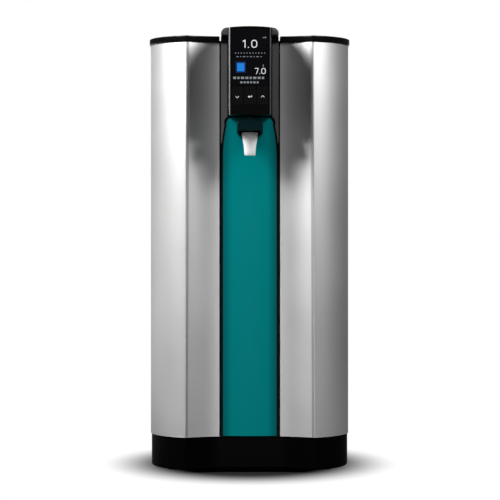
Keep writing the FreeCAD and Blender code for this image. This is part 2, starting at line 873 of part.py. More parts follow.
def make_pivots():
    """Four pins, two to a cover, pressed into the tray and the top plate."""
    pins = []
    for x in ("pivot_x", "-pivot_x"):
        low = "base_height - pin_depth"
        pins.append(rod("Z", x, "pivot_y", low, "pin_radius", f"door_foot + pin_depth - ({low})"))
        high = "plate_foot - cover_gap - pin_depth"
        pins.append(rod("Z", x, "pivot_y", high, "pin_radius", f"cover_top - ({high})"))
    keep("pivot_pins", group(*pins))
    magnets = []
    for x_low, x_high in (("column_half", "edge_x - magnet_gap"),
                          ("-edge_x + magnet_gap", "-column_half")):
        for z in ("magnet_low_z", "magnet_high_z"):
            magnets.append(block(x_low, x_high, "column_front_y + magnet_setback",
                                 "column_front_y + magnet_setback + magnet_depth",
                                 z, f"{z} + magnet_height"))
    keep("catch_magnets", group(*magnets))


# ---- caps and top plate ------------------------------------------------------------------------

def make_cap(label, turn):
    """A glossy cap with rounded rims over one side cover."""
    cap = new_body()
    pad(cap, "XY", "cover_top", "cap_top", turn(cap_outline()))
    doc.recompute()
    rims = flat_edges(cap.Shape, "Z", number("cap_top")) + flat_edges(
        cap.Shape, "Z", number("cover_top"))
    soften(cap, "Fillet", "cap_round", rims)
    hollow = rectangle("edge_x + cap_rim", "side_x - cap_rim", "tangent_y + cap_rim",
                       "back_y - cap_rear_rim")
    pocket(cap, "XY", "cover_top", "cover_top + cap_pocket", turn(hollow))
    keep(label, cap)


def make_caps():
    """Both side caps, the cap of the column and the plate that carries them."""
    make_cap("right_cap", list)
    make_cap("left_cap", mirrored)
    middle = new_body()
    half = "cap_inner_x - cap_groove"
    pad(middle, "XY", "cover_top", "cap_top",
        rectangle(f"-({half})", half, "face_y - cap_overhang", "cap_rear_y"))
    doc.recompute()
    rims = flat_edges(middle.Shape, "Z", number("cap_top"))
    soften(middle, "Fillet", "cap_round", rims)
    pocket(middle, "XY", "cover_top", "cap_top",
           rectangle("-pod_half - fit_gap", "pod_half + fit_gap", "face_y - 2 * cap_overhang",
                     "face_y + fit_gap"))
    pocket(middle, "XY", "cover_top", "cover_top + cap_pocket",
           rectangle("-column_inner + cap_bead", "column_inner - cap_bead",
                     "column_back_y + 2 * cap_bead", "back_y - cap_rear_rim"))
    keep("column_cap", middle)
    plate = new_body()
    wide = "pivot_x - ear_reach"
    pad(plate, "XY", "plate_foot", "cover_top", [
        (f"-({wide})", "back_y - sheet"),
        ("-side_x", "back_y - sheet"),
        ("-side_x", "pivot_y - pivot_radius"),
        (f"-({wide})", "pivot_y - pivot_radius"),
        (f"-({wide})", "tangent_y"),
        ("-column_inner", "tangent_y"),
        ("-column_inner", "column_front_y + column_wall"),
        ("column_inner", "column_front_y + column_wall"),
        ("column_inner", "tangent_y"),
        (wide, "tangent_y"),
        (wide, "pivot_y - pivot_radius"),
        ("side_x", "pivot_y - pivot_radius"),
        ("side_x", "back_y - sheet"),
        (wide, "back_y - sheet"),
    ])
    pocket(plate, "XY", "plate_foot", "cover_top",
           *[("circle", x, "pivot_y", "pin_radius") for x in ("pivot_x", "-pivot_x")])
    keep("top_plate", plate)


# ---- column, its cover and the coloured panel ---------------------------------------------------

def cable_slot():
    """Front view of the slot that the display's flat cable passes through."""
    half = "cable_half + slot_margin"
    return rectangle(f"-({half})", half, "head_cable_z - slot_margin",
                     "head_cable_z + cable_thickness + slot_margin")


def make_column():
    """The upright channel between the wings and what covers its front."""
    column = new_body()
    pad(column, "XY", "base_height", "cover_top", [
        ("-column_half", "column_back_y"),
        ("-column_half", "column_front_y"),
        ("column_half", "column_front_y"),
        ("column_half", "column_back_y"),
        ("column_inner", "column_back_y"),
        ("column_inner", "column_front_y + column_wall"),
        ("-column_inner", "column_front_y + column_wall"),
        ("-column_inner", "column_back_y"),
    ])
    pad(column, "XY", "deck_top", "base_height + column_wall",
        rectangle("-column_inner", "column_inner", "face_y + tray_inner + column_foot_gap",
                  "column_back_y"))
    pocket(column, "XZ", "column_front_y", "column_front_y + column_wall",
           ("circle", "0", "stem_z", "stem_radius"),
           cable_slot())
    keep("column", column)

    panel = new_body()
    pad(panel, "XZ", "panel_front_y", "column_front_y", panel_outline("0", "panel_foot"))
    edge_y = "face_y + panel_edge"
    sagitta = "(panel_crown + panel_edge)"
    bow = f"(panel_half^2 + {sagitta}^2) / (2 * {sagitta})"
    pocket(panel, "XY", "panel_foot - cut_margin", "panel_top + cut_margin", [
        ("-panel_half - cut_margin", edge_y),
        ("-panel_half - cut_margin", "panel_front_y - cut_margin"),
        ("panel_half + cut_margin", "panel_front_y - cut_margin"),
        ("panel_half + cut_margin", edge_y),
        ("panel_half", edge_y),
        ("-panel_half", edge_y, f"-({bow})"),
    ])
    pocket(panel, "XZ", "panel_front_y - cut_margin", "column_front_y",
           ("circle", "0", "stem_z", "stem_radius"))
    keep("front_panel", panel)

    gasket = new_body()
    pad(gasket, "XZ", "face_y + gasket_sink", "column_front_y",
        panel_outline("gasket_width", "base_height + gasket_foot_gap"))
    pocket(gasket, "XZ", "face_y", "column_front_y", panel_outline("0", "panel_foot"))
    keep("panel_gasket", gasket)

    cover = new_body()
    pad(cover, "XZ", "face_y", "column_front_y",
        rectangle("-column_half", "column_half", "horn_foot_z", "cover_top"))
    pocket(cover, "XZ", "face_y", "column_front_y",
           panel_outline("gasket_width", "panel_foot"))
    pocket(cover, "XZ", "face_y", "column_front_y", cable_slot())
    keep("column_cover", cover)


# ---- head with display and keys -----------------------------------------------------------------

def crowned(half, foot, top):
    """Front view of a block whose top is slightly crowned."""
    bow = f"(({half})^2 + head_crown^2) / (2 * head_crown)"
    shoulder = f"({top}) - head_crown"
    return [(f"-({half})", foot), (half, foot), (half, shoulder), (f"-({half})", shoulder, bow)]


def post_places():
    """The four posts that carry the display board, as pairs of expressions."""
    return [(x, z) for x in ("board_post_x", "-board_post_x")
            for z in ("post_low_z", "post_high_z")]


def make_head_shell():
    """The glossy housing that stands out over the spout and runs back over the column."""
    shell = new_body()
    pad(shell, "XZ", "fascia_back_y", "face_y", crowned("pod_half", "pod_foot", "pod_top"))
    flat = "head_half - head_corner"
    bow = f"(({flat})^2 + head_crown^2) / (2 * head_crown)"
    pad(shell, "XZ", "head_front_y", "head_rear_y", [
        ("-head_half", "cap_top"),
        ("head_half", "cap_top"),
        ("head_half", "head_top - head_crown - head_corner"),
        (flat, "head_top - head_crown", "head_corner"),
        (f"-({flat})", "head_top - head_crown", bow),
        ("-head_half", "head_top - head_crown - head_corner", "head_corner"),
    ])
    pocket(shell, "YZ", "-head_half - cut_margin", "head_half + cut_margin", [
        ("head_rear_y - head_slope_start", "head_top + cut_margin"),
        ("head_rear_y - head_slope_start", "head_top"),
        ("head_rear_y + cut_margin", "cap_top + head_tail"),
        ("head_rear_y + cut_margin", "head_top + cut_margin"),
    ])
    inner = "pod_half - pod_wall"
    pocket(shell, "XZ", "fascia_back_y", "pod_inner_y",
           rectangle(f"-({inner})", inner, "pod_foot + pod_wall", "pod_top - head_crown - pod_wall"))
    pocket(shell, "XY", "cap_top", "head_top - head_crown - head_roof",
           rectangle("-head_half + head_wall", "head_half - head_wall", "face_y + head_wall",
                     "head_rear_y - head_slope_start"))
    pad(shell, "XZ", "board_back_y", "pod_inner_y",
        *[("circle", x, z, "board_post_radius") for x, z in post_places()])
    pocket(shell, "XZ", "board_back_y", "board_back_y + screw_bite + screw_spare",
           *[("circle", x, z, "screw_radius") for x, z in post_places()])
    pocket(shell, "XZ", "pod_inner_y", "face_y", cable_slot())
    keep("head_shell", shell)


def make_display():
    """The fascia with its window, the display behind it, and the board that carries both."""
    fascia = new_body()
    pad(fascia, "XZ", "front_y", "fascia_back_y", crowned("pod_half", "pod_foot", "pod_top"))
    doc.recompute()
    front = number("front_y")
    corners = [(side * number("pod_half"), front) for side in (-1, 1)]
    soften(fascia, "Fillet", "pod_round", upright_edges(fascia.Shape, "Z", corners))
    pocket(fascia, "XZ", "front_y", "fascia_back_y",
           rectangle("-glass_half", "glass_half", "keypad_foot", "window_top"))
    keep("head_fascia", fascia)
    clear = "glass_half - fit_gap"
    keep("display_window", block(f"-({clear})", clear, "key_front_y", "key_front_y + glass_thickness",
                                 "keypad_top + fit_gap", "window_top - fit_gap"))
    keep("display_module", block("-glass_half + module_margin", "glass_half - module_margin",
                                 "key_front_y + glass_thickness", "board_front_y",
                                 "keypad_top + module_margin", "module_top"))
    board = new_body()
    edge = "glass_half - board_margin"
    pad(board, "XZ", "board_front_y", "board_back_y",
        rectangle(f"-({edge})", edge, "pod_foot + pod_wall + board_margin",
                  "window_top - fascia_brow - board_margin"))
    pocket(board, "XZ", "board_front_y", "board_back_y",
           *[("circle", x, z, "screw_radius") for x, z in post_places()])
    keep("display_board", board)
    keep("board_screws", group(*[
        fuse(rod("Y", x, "board_front_y - screw_head_height", z, "screw_head_radius",
                 "screw_head_height"),
             rod("Y", x, "board_front_y", z, "screw_radius", "board_thickness + screw_bite"))
        for x, z in post_places()]))
    keep("key_mat", block(f"-({clear})", clear, "mat_front_y", "board_front_y",
                          "keypad_foot + fit_gap", "keypad_top - fit_gap"))
    cable_rear = "cable_y + cable_thickness"
    cable_top = "head_cable_z + cable_thickness"
    down = block("-cable_half", "cable_half", "cable_y", cable_rear,
                 "head_cable_z - cable_drop", cable_top)
    across = block("-cable_half", "cable_half", "board_back_y", cable_rear,
                   "head_cable_z", cable_top)
    keep("display_cable", fuse(across, down))


def make_keys():
    """Three keys side by side under the window."""
    for name, step in (("key_down", -1), ("key_enter", 0), ("key_up", 1)):
        middle = f"{step} * key_pitch"
        half = "(key_pitch - key_gap) / 2"
        keep(name, block(f"{middle} - {half}", f"{middle} + {half}", "key_front_y", "key_back_y",
                         "keypad_foot + fit_gap", "keypad_top - fit_gap"))


# ---- spout --------------------------------------------------------------------------------------

def make_hood():
    """The gabled hood over the nozzle, with the water channel through its stem."""
    hood = new_body()
    pad(hood, "XZ", "hood_front_y", "panel_front_y", [
        ("-hood_half", "hood_foot + hood_corner"),
        ("-hood_half + hood_corner", "hood_foot", "hood_corner"),
        ("hood_half - hood_corner", "hood_foot"),
        ("hood_half", "hood_foot + hood_corner", "hood_corner"),
        ("hood_half", "hood_eaves - hood_shoulder"),
        ("hood_half - hood_shoulder", "hood_eaves + hood_shoulder_rise", "hood_round"),
        ("hood_ridge_half", "hood_apex - hood_ridge_drop"),
        ("-hood_ridge_half", "hood_apex - hood_ridge_drop", "hood_crest"),
        ("-hood_half + hood_shoulder", "hood_eaves + hood_shoulder_rise"),
        ("-hood_half", "hood_eaves - hood_shoulder", "hood_round"),
    ])
    inner = "hood_half - hood_wall"
    pocket(hood, "XY", "hood_foot", "hood_ceiling",
           rectangle(f"-({inner})", inner, "hood_front_y + hood_wall", "panel_front_y - hood_wall"))
    pocket(hood, "XZ", "hood_front_y", "hood_front_y + hood_wall",
           rectangle(f"-({inner})", inner, "hood_foot", "hood_front_edge"))
    pad(hood, "XY", "boss_foot", "hood_ceiling", ("circle", "0", "nozzle_y", "nozzle_boss_radius"))
    pad(hood, "XZ", "panel_front_y - hood_wall", "stem_end_y",
        ("circle", "0", "stem_z", "stem_radius"))
    bore_top = "nozzle_top + nozzle_spigot_height + nozzle_headroom"
    pocket(hood, "XY", "boss_foot", bore_top,
           ("circle", "0", "nozzle_y", "nozzle_spigot + nozzle_clearance"))
    pocket(hood, "XY", bore_top, "channel_z", ("circle", "0", "nozzle_y", "channel_radius"))
    pocket(hood, "XZ", "nozzle_y", "stem_end_y", ("circle", "0", "channel_z", "channel_radius"))
    pocket(hood, "XZ", "stem_end_y - stem_tail", "stem_end_y",
           ("circle", "0", "channel_z", "tube_radius"))
    keep("spout_hood", hood)


def make_spout():
    """The white nozzle under the hood, its seal, and the tube that feeds it."""
    nozzle = new_body()
    spigot_top = "nozzle_top + nozzle_spigot_height"
    revolve(nozzle, "XZ", [
        ("nozzle_bore", "nozzle_foot"),
        ("nozzle_foot_radius", "nozzle_foot"),
        ("nozzle_neck_radius", "nozzle_neck_z"),
        ("nozzle_waist_radius", "nozzle_waist_z"),
        ("nozzle_top_radius", "nozzle_top"),
        ("nozzle_spigot", "nozzle_top"),
        ("nozzle_spigot", spigot_top),
        ("nozzle_bore", spigot_top),
    ], "Z_Axis")
    nozzle.setExpression("Placement.Base.y", bound("nozzle_y"))
    keep("spout_nozzle", nozzle)
    seal = new_body()
    bore = "nozzle_spigot + seal_play"
    pad(seal, "XY", "seal_foot", "boss_foot",
        ("circle", "0", "nozzle_y", f"{bore} + seal_width"), ("circle", "0", "nozzle_y", bore))
    keep("nozzle_seal", seal)
    tube = new_body()
    start = "stem_end_y - stem_tail"
    profile = sketch_on(tube, "XZ", start, [
        ("circle", "0", "channel_z", "tube_radius"),
        ("circle", "0", "channel_z", "tube_radius - tube_wall"),
    ])
    route = sketch_on(tube, "YZ", "0", [[
        (start, "channel_z"),
        ("filter_y - tube_bend", "channel_z"),
        ("filter_y", "channel_z - tube_bend", "-tube_bend"),
        ("filter_y", "filter_top + tube_seat"),
    ]], closed=False)
    pipe = tube.newObject("PartDesign::AdditivePipe", "Pipe")
    pipe.Profile = profile
    pipe.Spine = (route, ["Edge1", "Edge2", "Edge3"])
    keep("spout_tube", tube)


# ---- rear wall ----------------------------------------------------------------------------------

def port_places():
    """Across positions of the water connections."""
    return [f"port_first_x + {step} * port_pitch" for step in range(3)]


def rear_screw_places():
    """The screws of the rear wall, as pairs of expressions."""
    middle = "(rear_screw_low + rear_screw_high) / 2"
    return [(x, z) for x in ("rear_screw_x", "-rear_screw_x")
            for z in ("rear_screw_low", middle, "rear_screw_high")]


def make_rear_panel():
    """The sheet metal rear wall with its cut-outs, vents and side flanges."""
    panel = new_body()
    pad(panel, "XZ", "rear_inner_y", "back_y",
        rectangle("-rear_half", "rear_half", "base_height", "cover_top"))
    for low, high in (("rear_half - sheet", "rear_half"), ("-rear_half", "-rear_half + sheet")):
        pad(panel, "XY", "base_height", "plate_foot",
            rectangle(low, high, "back_y - rear_flange", "rear_inner_y"))
    holes = [("circle", x, "port_z", "port_thread") for x in port_places()]
    holes += [("circle", x, z, "rear_screw_radius") for x, z in rear_screw_places()]
    holes.append(("circle", "valve_x", "valve_z", "valve_radius"))
    holes.append(rectangle("inlet_x - inlet_half_width", "inlet_x + inlet_half_width",
                           "inlet_z - inlet_half_height", "inlet_z + inlet_half_height"))
    holes.append(rectangle("rocker_x - rocker_half_width - rocker_wall",
                           "rocker_x + rocker_half_width + rocker_wall",
                           "inlet_z - rocker_half_height - rocker_wall",
                           "inlet_z + rocker_half_height + rocker_wall"))
    for step in range(int(number("vent_count"))):
        foot = f"vent_top_z - {step} * vent_pitch"
        holes.append(rectangle("-vent_half", "vent_half", foot, f"{foot} + vent_height"))
    pocket(panel, "XZ", "rear_inner_y", "back_y", *holes)
    keep("rear_panel", panel)
    keep("rear_screws", group(*[
        fuse(rod("Y", x, "back_y", z, "rear_screw_head", "rear_screw_rise"),
             rod("Y", x, "back_y + rear_screw_rise - rear_screw_length", z, "rear_screw_radius",
                 "rear_screw_length"))
        for x, z in rear_screw_places()]))


def make_power_entry():
    """The mains inlet with its three blades, and the rocker switch beside it."""
    inlet = new_body()

    def around_inlet(half_width, half_height):
        return rectangle(f"inlet_x - {half_width}", f"inlet_x + {half_width}",
                         f"inlet_z - {half_height}", f"inlet_z + {half_height}")

    pad(inlet, "XZ", "back_y", "back_y + inlet_flange",
        around_inlet("inlet_flange_half", "inlet_flange_height"))
    pad(inlet, "XZ", "back_y - inlet_depth", "back_y",
        around_inlet("inlet_half_width", "inlet_half_height"))
    pocket(inlet, "XZ", "recess_floor_y", "back_y + inlet_flange",
           around_inlet("inlet_mouth_half_width", "inlet_mouth_half_height"))
    keep("power_inlet", inlet)
    blades = []
    for step, rise in ((-1, "0"), (0, "inlet_earth_rise"), (1, "0")):
        x = f"inlet_x + {step} * inlet_pin_pitch"
        z = f"inlet_z + {rise}"
        blades.append(block(f"{x} - inlet_pin_half_width", f"{x} + inlet_pin_half_width",
                            "recess_floor_y", "recess_floor_y + inlet_pin_length",
                            f"{z} - inlet_pin_half_height", f"{z} + inlet_pin_half_height"))
    keep("inlet_blades", group(*blades))
    frame = new_body()

    def around_rocker(margin):
        return rectangle(f"rocker_x - rocker_half_width - {margin}",
                         f"rocker_x + rocker_half_width + {margin}",
                         f"inlet_z - rocker_half_height - {margin}",
                         f"inlet_z + rocker_half_height + {margin}")

    pad(frame, "XZ", "back_y", "back_y + rocker_frame_out", around_rocker("rocker_frame"))
    pad(frame, "XZ", "back_y - rocker_depth", "back_y", around_rocker("rocker_wall"))
    pocket(frame, "XZ", "back_y - rocker_depth + rocker_floor", "back_y + rocker_frame_out",
           around_rocker("0"))
    pocket(frame, "YZ", "rocker_x - rocker_half_width - rocker_wall",
           "rocker_x + rocker_half_width + rocker_wall",
           ("circle", "rocker_axis_y", "inlet_z", "trunnion_radius + pin_clearance"))
    keep("switch_frame", frame)
    rocker = new_body()
    pad(rocker, "YZ", "rocker_x - rocker_half_width + fit_gap",
        "rocker_x + rocker_half_width - fit_gap", [
            ("rocker_axis_y - rocker_back", "inlet_z - rocker_key_half + rocker_taper"),
            ("rocker_axis_y + rocker_dip", "inlet_z - rocker_key_half"),
            ("rocker_axis_y + rocker_hollow", "inlet_z"),
            ("rocker_axis_y + rocker_proud", "inlet_z + rocker_key_half"),
            ("rocker_axis_y - rocker_back", "inlet_z + rocker_key_half - rocker_taper"),
        ])
    pad(rocker, "YZ", "rocker_x - rocker_half_width - trunnion_reach",
        "rocker_x + rocker_half_width + trunnion_reach",
        ("circle", "rocker_axis_y", "inlet_z", "trunnion_radius"))
    keep("power_rocker", rocker)


def make_ports():
    """Three push-fit water connections clamped in the rear wall by their own nuts."""
    fittings = []
    for x in port_places():
        body = fuse(
            rod("Y", x, "back_y - port_inside", "port_z", "port_thread", "port_inside"),
            rod("Y", x, "rear_inner_y - port_nut_height", "port_z", "port_nut_radius",
                "port_nut_height"),
            rod("Y", x, "back_y", "port_z", "port_flange_radius", "port_flange"),
            rod("Y", x, "back_y", "port_z", "port_radius", "rear_y - back_y"))
        fittings.append(cut(body, rod("Y", x, "rear_y - port_bore_depth", "port_z",
                                      "port_bore", "port_bore_depth")))
    keep("water_ports", group(*fittings))


def make_drain():
    """The reservoir's drain valve with its quarter-turn lever."""
    spout = "valve_spout_radius"
    body = fuse(
        rod("Y", "valve_x", "back_y - valve_inside", "valve_z", "valve_radius",
            "valve_inside + valve_body_out"),
        rod("Y", "valve_x", "back_y", "valve_z", spout, "rear_y - back_y"))
    spindle_foot = "valve_z + spindle_lift"
    keep("drain_valve", cut(
        body,
        rod("Y", "valve_x", "back_y + valve_body_out", "valve_z", "valve_spout_bore",
            "rear_y - back_y - valve_body_out"),
        rod("Z", "valve_x", "valve_axis_y", spindle_foot, "lever_spindle + pin_clearance",
            "valve_radius")))
    lever_top = "lever_foot + lever_thickness"
    keep("drain_lever", fuse(
        rod("Z", "valve_x", "valve_axis_y", "lever_foot", "lever_hub", "lever_thickness"),
        rod("Z", "valve_x", "valve_axis_y", f"{spindle_foot} + lever_gap", "lever_spindle",
            f"{lever_top} - {spindle_foot} - lever_gap"),
        block("valve_x", "valve_x + lever_length", "valve_axis_y - lever_half_width",
              "valve_axis_y + lever_half_width", "lever_foot", lever_top)))


# ---- reservoir ----------------------------------------------------------------------------------

def tank_section(inset):
    """Plan of the reservoir, drawn in by an inset."""
    return rounded(f"-tank_half + {inset}", f"tank_half - {inset}", f"tank_front_y + {inset}",
                   f"tank_rear_y - {inset}", f"(tank_round - {inset} / 2)")


def make_reservoir():
    """The pure-water reservoir on its cradle, its lid, breather and level sensor."""
    cradle = new_body()
    pad(cradle, "XY", "deck_top", "tank_foot", tank_section("cradle_inset"))
    pocket(cradle, "XY", "deck_top", "tank_foot", tank_section("(cradle_inset + cradle_wall)"))
    keep("tank_cradle", cradle)
    tank = new_body()
    pad(tank, "XY", "tank_foot", "tank_top", tank_section("0"))
    pocket(tank, "XY", "tank_foot + tank_wall", "tank_top", tank_section("tank_wall"))
    keep("reservoir", tank)
    lid = new_body()
    pad(lid, "XY", "tank_top", "tank_top + tank_lid", tank_section("0"))
    pocket(lid, "XY", "tank_top", "tank_top + tank_lid",
           ("circle", "rod_x", "tank_mid_y", "rod_radius"),
           ("circle", "breather_x", "tank_mid_y", "breather_neck"))
    keep("reservoir_lid", lid)
    keep("tank_breather", fuse(
        rod("Z", "breather_x", "tank_mid_y", "tank_top", "breather_neck", "tank_lid"),
        rod("Z", "breather_x", "tank_mid_y", "tank_top + tank_lid", "breather_radius",
            "breather_height")))
    rod_foot = "tank_foot + tank_wall"
    keep("level_rod", fuse(
        rod("Z", "rod_x", "tank_mid_y", rod_foot, "rod_radius", f"tank_top + tank_lid - ({rod_foot})"),
        rod("Z", "rod_x", "tank_mid_y", rod_foot, "rod_foot_radius", "float_stop")))
    keep("level_float", cut(
        rod("Z", "rod_x", "tank_mid_y", "float_foot", "float_radius", "float_height"),
        rod("Z", "rod_x", "tank_mid_y", "float_foot", "rod_radius + float_clearance",
            "float_height")))


# ---- purification train -------------------------------------------------------------------------

def make_cartridge(name, x):
    """A purification cartridge with a ribbed grip, and the socket that its neck turns in."""
    cartridge = new_body()
    pad(cartridge, "XY", "cartridge_foot", "cartridge_top", ("circle", "0", "0", "cartridge_radius"))
    doc.recompute()
    rims = flat_edges(cartridge.Shape, "Z", number("cartridge_foot")) + flat_edges(
        cartridge.Shape, "Z", number("cartridge_top"))
    soften(cartridge, "Fillet", "cartridge_round", rims)
    pad(cartridge, "XY", "cartridge_top", "cartridge_top + cartridge_neck_height",
        ("circle", "0", "0", "cartridge_neck"))
    grip_foot = "cartridge_foot + cartridge_round"
    rib = pad(cartridge, "XY", grip_foot, f"{grip_foot} + grip_height",
              ("circle", "cartridge_radius", "0", "grip_radius"))
    doc.recompute()
    ring = cartridge.newObject("PartDesign::PolarPattern", "Grip")
    ring.Originals = [rib]
    ring.Axis = (next(f for f in cartridge.Origin.OriginFeatures if f.Role == "Z_Axis"), [""])
    ring.Angle = 360
    ring.setExpression("Occurrences", bound("grip_count"))
    cartridge.Tip = ring
    cartridge.setExpression("Placement.Base.x", bound(x))
    cartridge.setExpression("Placement.Base.y", bound("cartridge_y"))
    keep(name + "_cartridge", cartridge)
    keep(name + "_socket", cut(
        rod("Z", x, "cartridge_y", "socket_foot", "socket_radius", "socket_height"),
        rod("Z", x, "cartridge_y", "socket_foot", "cartridge_neck + socket_clearance",
            "cartridge_neck_height + socket_gap")))


def make_bracket():
    """The plate between the column and the two sockets, hung from the top plate."""
    bracket = new_body()
    front = "cartridge_y - socket_radius"
    pad(bracket, "XY", "bracket_foot", "bracket_top", [
        ("-column_half", "column_back_y"),
        ("column_half", "column_back_y"),
        ("column_half", front),
        ("bracket_side_x", front),
        ("bracket_side_x", "bracket_rear_y"),
        ("-bracket_side_x", "bracket_rear_y"),
        ("-bracket_side_x", front),
        ("-column_half", front),
    ])
    for low, high in (("column_inner", "column_half"), ("-column_half", "-column_inner")):
        pad(bracket, "XY", "bracket_top", "plate_foot",
            rectangle(low, high, front, "bracket_rear_y"))
    keep("socket_bracket", bracket)


def make_centre_modules():
    """Ultraviolet lamp, ultrafilter and their clips behind the column."""
    keep("uv_lamp", fuse(
        rod("Z", "0", "lamp_y", "lamp_foot", "lamp_radius", "lamp_top - lamp_foot"),
        *[rod("Z", "0", "lamp_y", foot, "lamp_cap_radius", "lamp_cap_height")
          for foot in ("lamp_foot", "lamp_top - lamp_cap_height")]))
    length = "filter_top - filter_foot"
    capsule = fuse(
        rod("Z", "0", "filter_y", "filter_foot", "filter_radius", length),
        rod("Z", "0", "filter_y", "filter_foot - filter_port", "filter_port_radius",
            f"{length} + 2 * filter_port"))
    keep("ultrafilter", cut(capsule, rod("Z", "0", "filter_y", "filter_top + tube_seat",
                                         "tube_radius", "filter_port")))
    clips = []
    for foot in ("clip_low_z", "clip_high_z"):
        arm = block("-filter_arm", "filter_arm", "column_back_y + sheet", "filter_y + filter_arm",
                    foot, f"{foot} + clip_height")
        plate = block("-column_half", "column_half", "column_back_y", "column_back_y + sheet",
                      foot, f"{foot} + clip_height")
        clips.append(cut(fuse(plate, arm),
                         rod("Z", "0", "lamp_y", foot, "lamp_radius", "clip_height"),
                         rod("Z", "0", "filter_y", foot, "filter_radius", "clip_height")))
    keep("module_clips", group(*clips))


def make_pump():
    """The circulation pump and its motor, which stands on a cast foot."""
    motor_x = "pump_x + pump_length"
    keep("circulation_pump", rod("X", "pump_x", "pump_y", "pump_z", "pump_radius", "pump_length"))
    keep("pump_motor", fuse(
        rod("X", motor_x, "pump_y", "pump_z", "motor_radius", "motor_length"),
        block(f"{motor_x} + saddle_margin", f"{motor_x} + motor_length - saddle_margin",
              "pump_y - saddle_half", "pump_y + saddle_half", "deck_top",
              "deck_top + saddle_height")))


def make_hydraulics():
    """The inlet solenoid and the conductivity cell on the deck under the cartridges."""
    valve_top = "deck_top + solenoid_height"
    keep("inlet_solenoid", fuse(
        block("cartridge_x - solenoid_half_width", "cartridge_x + solenoid_half_width",
              "cartridge_y - solenoid_length / 2", "cartridge_y + solenoid_length / 2",
              "deck_top", valve_top),
        rod("Z", "cartridge_x", "cartridge_y", valve_top, "coil_radius", "coil_height")))
    keep("conductivity_cell", rod("Y", "-cartridge_x", "cartridge_y - cell_length / 2",
                                  "deck_top + cell_radius", "cell_radius", "cell_length"))


def make_electronics():
    """The power supply on one side of the reservoir and the main board on the other."""
    keep("power_supply", block(
        "-supply_side_x", "-supply_side_x + supply_width", "supply_front_y", "supply_rear_y",
        "deck_top", "deck_top + supply_height"))
    posts = [(y, z)
             for y in ("carrier_front_y + 2 * circuit_margin", "carrier_rear_y - 2 * circuit_margin")
             for z in ("circuit_foot + circuit_margin", "circuit_top - circuit_margin")]
    keep("board_carrier", fuse(
        block("carrier_x", "carrier_back_x", "carrier_front_y", "carrier_rear_y", "deck_top",
              "carrier_top"),
        block("carrier_x", "carrier_x + rear_flange", "carrier_front_y", "carrier_rear_y",
              "deck_top", "deck_top + sheet"),
        *[rod("X", "carrier_back_x", y, z, "standoff_radius", "standoff") for y, z in posts]))
    face_x = "circuit_x + board_thickness"
    low_y = "carrier_front_y + circuit_margin"
    high_y = "carrier_rear_y - circuit_margin"
    keep("main_board", fuse(
        block("circuit_x", face_x, low_y, high_y, "circuit_foot", "circuit_top"),
        block(face_x, f"{face_x} + chip_height", f"{low_y} + chip_inset",
              f"{low_y} + chip_inset + chip_length", "circuit_foot + chip_inset",
              "circuit_foot + chip_inset + chip_rise"),
        block(face_x, f"{face_x} + chip_height", f"{high_y} - chip_inset - relay_side",
              f"{high_y} - chip_inset", "circuit_top - chip_inset - relay_side",
              "circuit_top - chip_inset")))


def check_and_write():
    """Check every object of the document, then write each piece to its own file."""
    doc.recompute()
    faults = [o.Label for o in doc.Objects if "Invalid" in o.State or "Error" in o.State]
    if faults:
        raise RuntimeError("failed features: " + ", ".join(faults))
    for label, thing in pieces.items():
        if thing.Shape.isNull() or not thing.Shape.isValid():
            raise RuntimeError("bad shape: " + label)
    os.makedirs("parts", exist_ok=True)
    for label, thing in pieces.items():
        thing.Shape.exportStep(f"parts/{label}.step")


fill_sheets()
make_base()
make_cover("right_cover", list)
make_cover("left_cover", mirrored)
make_pivots()
make_caps()
make_column()
make_head_shell()
make_display()
make_keys()
make_hood()
make_spout()
make_rear_panel()
make_power_entry()
make_ports()
make_drain()
make_reservoir()
make_cartridge("left", "-cartridge_x")
make_cartridge("right", "cartridge_x")
make_bracket()
make_centre_modules()
make_pump()
make_hydraulics()
make_electronics()
check_and_write()
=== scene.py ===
"""Bench-top ultrapure water system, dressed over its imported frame.

Sizes in the sub-assembly classes are millimetres in the frame's own axes: +Z up, the display and
the nozzle face -Y and +X is the user's right. Each finished mesh is turned into metres.
"""
import json
import logging
import math
from dataclasses import dataclass
from enum import Enum
from typing import Callable, Optional

import bmesh
import bpy
from mathutils import Matrix, Vector


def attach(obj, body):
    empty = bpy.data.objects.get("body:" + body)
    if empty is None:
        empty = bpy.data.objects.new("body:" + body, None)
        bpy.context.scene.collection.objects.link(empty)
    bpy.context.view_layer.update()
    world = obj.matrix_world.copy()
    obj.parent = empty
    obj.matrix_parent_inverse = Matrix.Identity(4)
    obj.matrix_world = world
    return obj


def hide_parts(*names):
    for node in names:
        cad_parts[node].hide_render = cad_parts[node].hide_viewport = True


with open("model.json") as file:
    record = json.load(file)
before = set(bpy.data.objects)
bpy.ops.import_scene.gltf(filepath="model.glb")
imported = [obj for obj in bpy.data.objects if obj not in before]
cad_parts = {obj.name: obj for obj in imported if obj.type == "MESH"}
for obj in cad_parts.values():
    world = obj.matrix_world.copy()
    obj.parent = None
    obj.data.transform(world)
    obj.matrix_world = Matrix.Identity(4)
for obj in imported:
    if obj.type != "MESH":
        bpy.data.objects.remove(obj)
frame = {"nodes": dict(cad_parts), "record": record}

Colour = tuple[float, float, float]
Triple = tuple[float, float, float]
Span = tuple[float, float]
Round = tuple[float, int]
Stop = tuple[float, ...]
Socket = bpy.types.NodeSocket
Vert = bmesh.types.BMVert
Edge = bmesh.types.BMEdge
Face = bmesh.types.BMFace

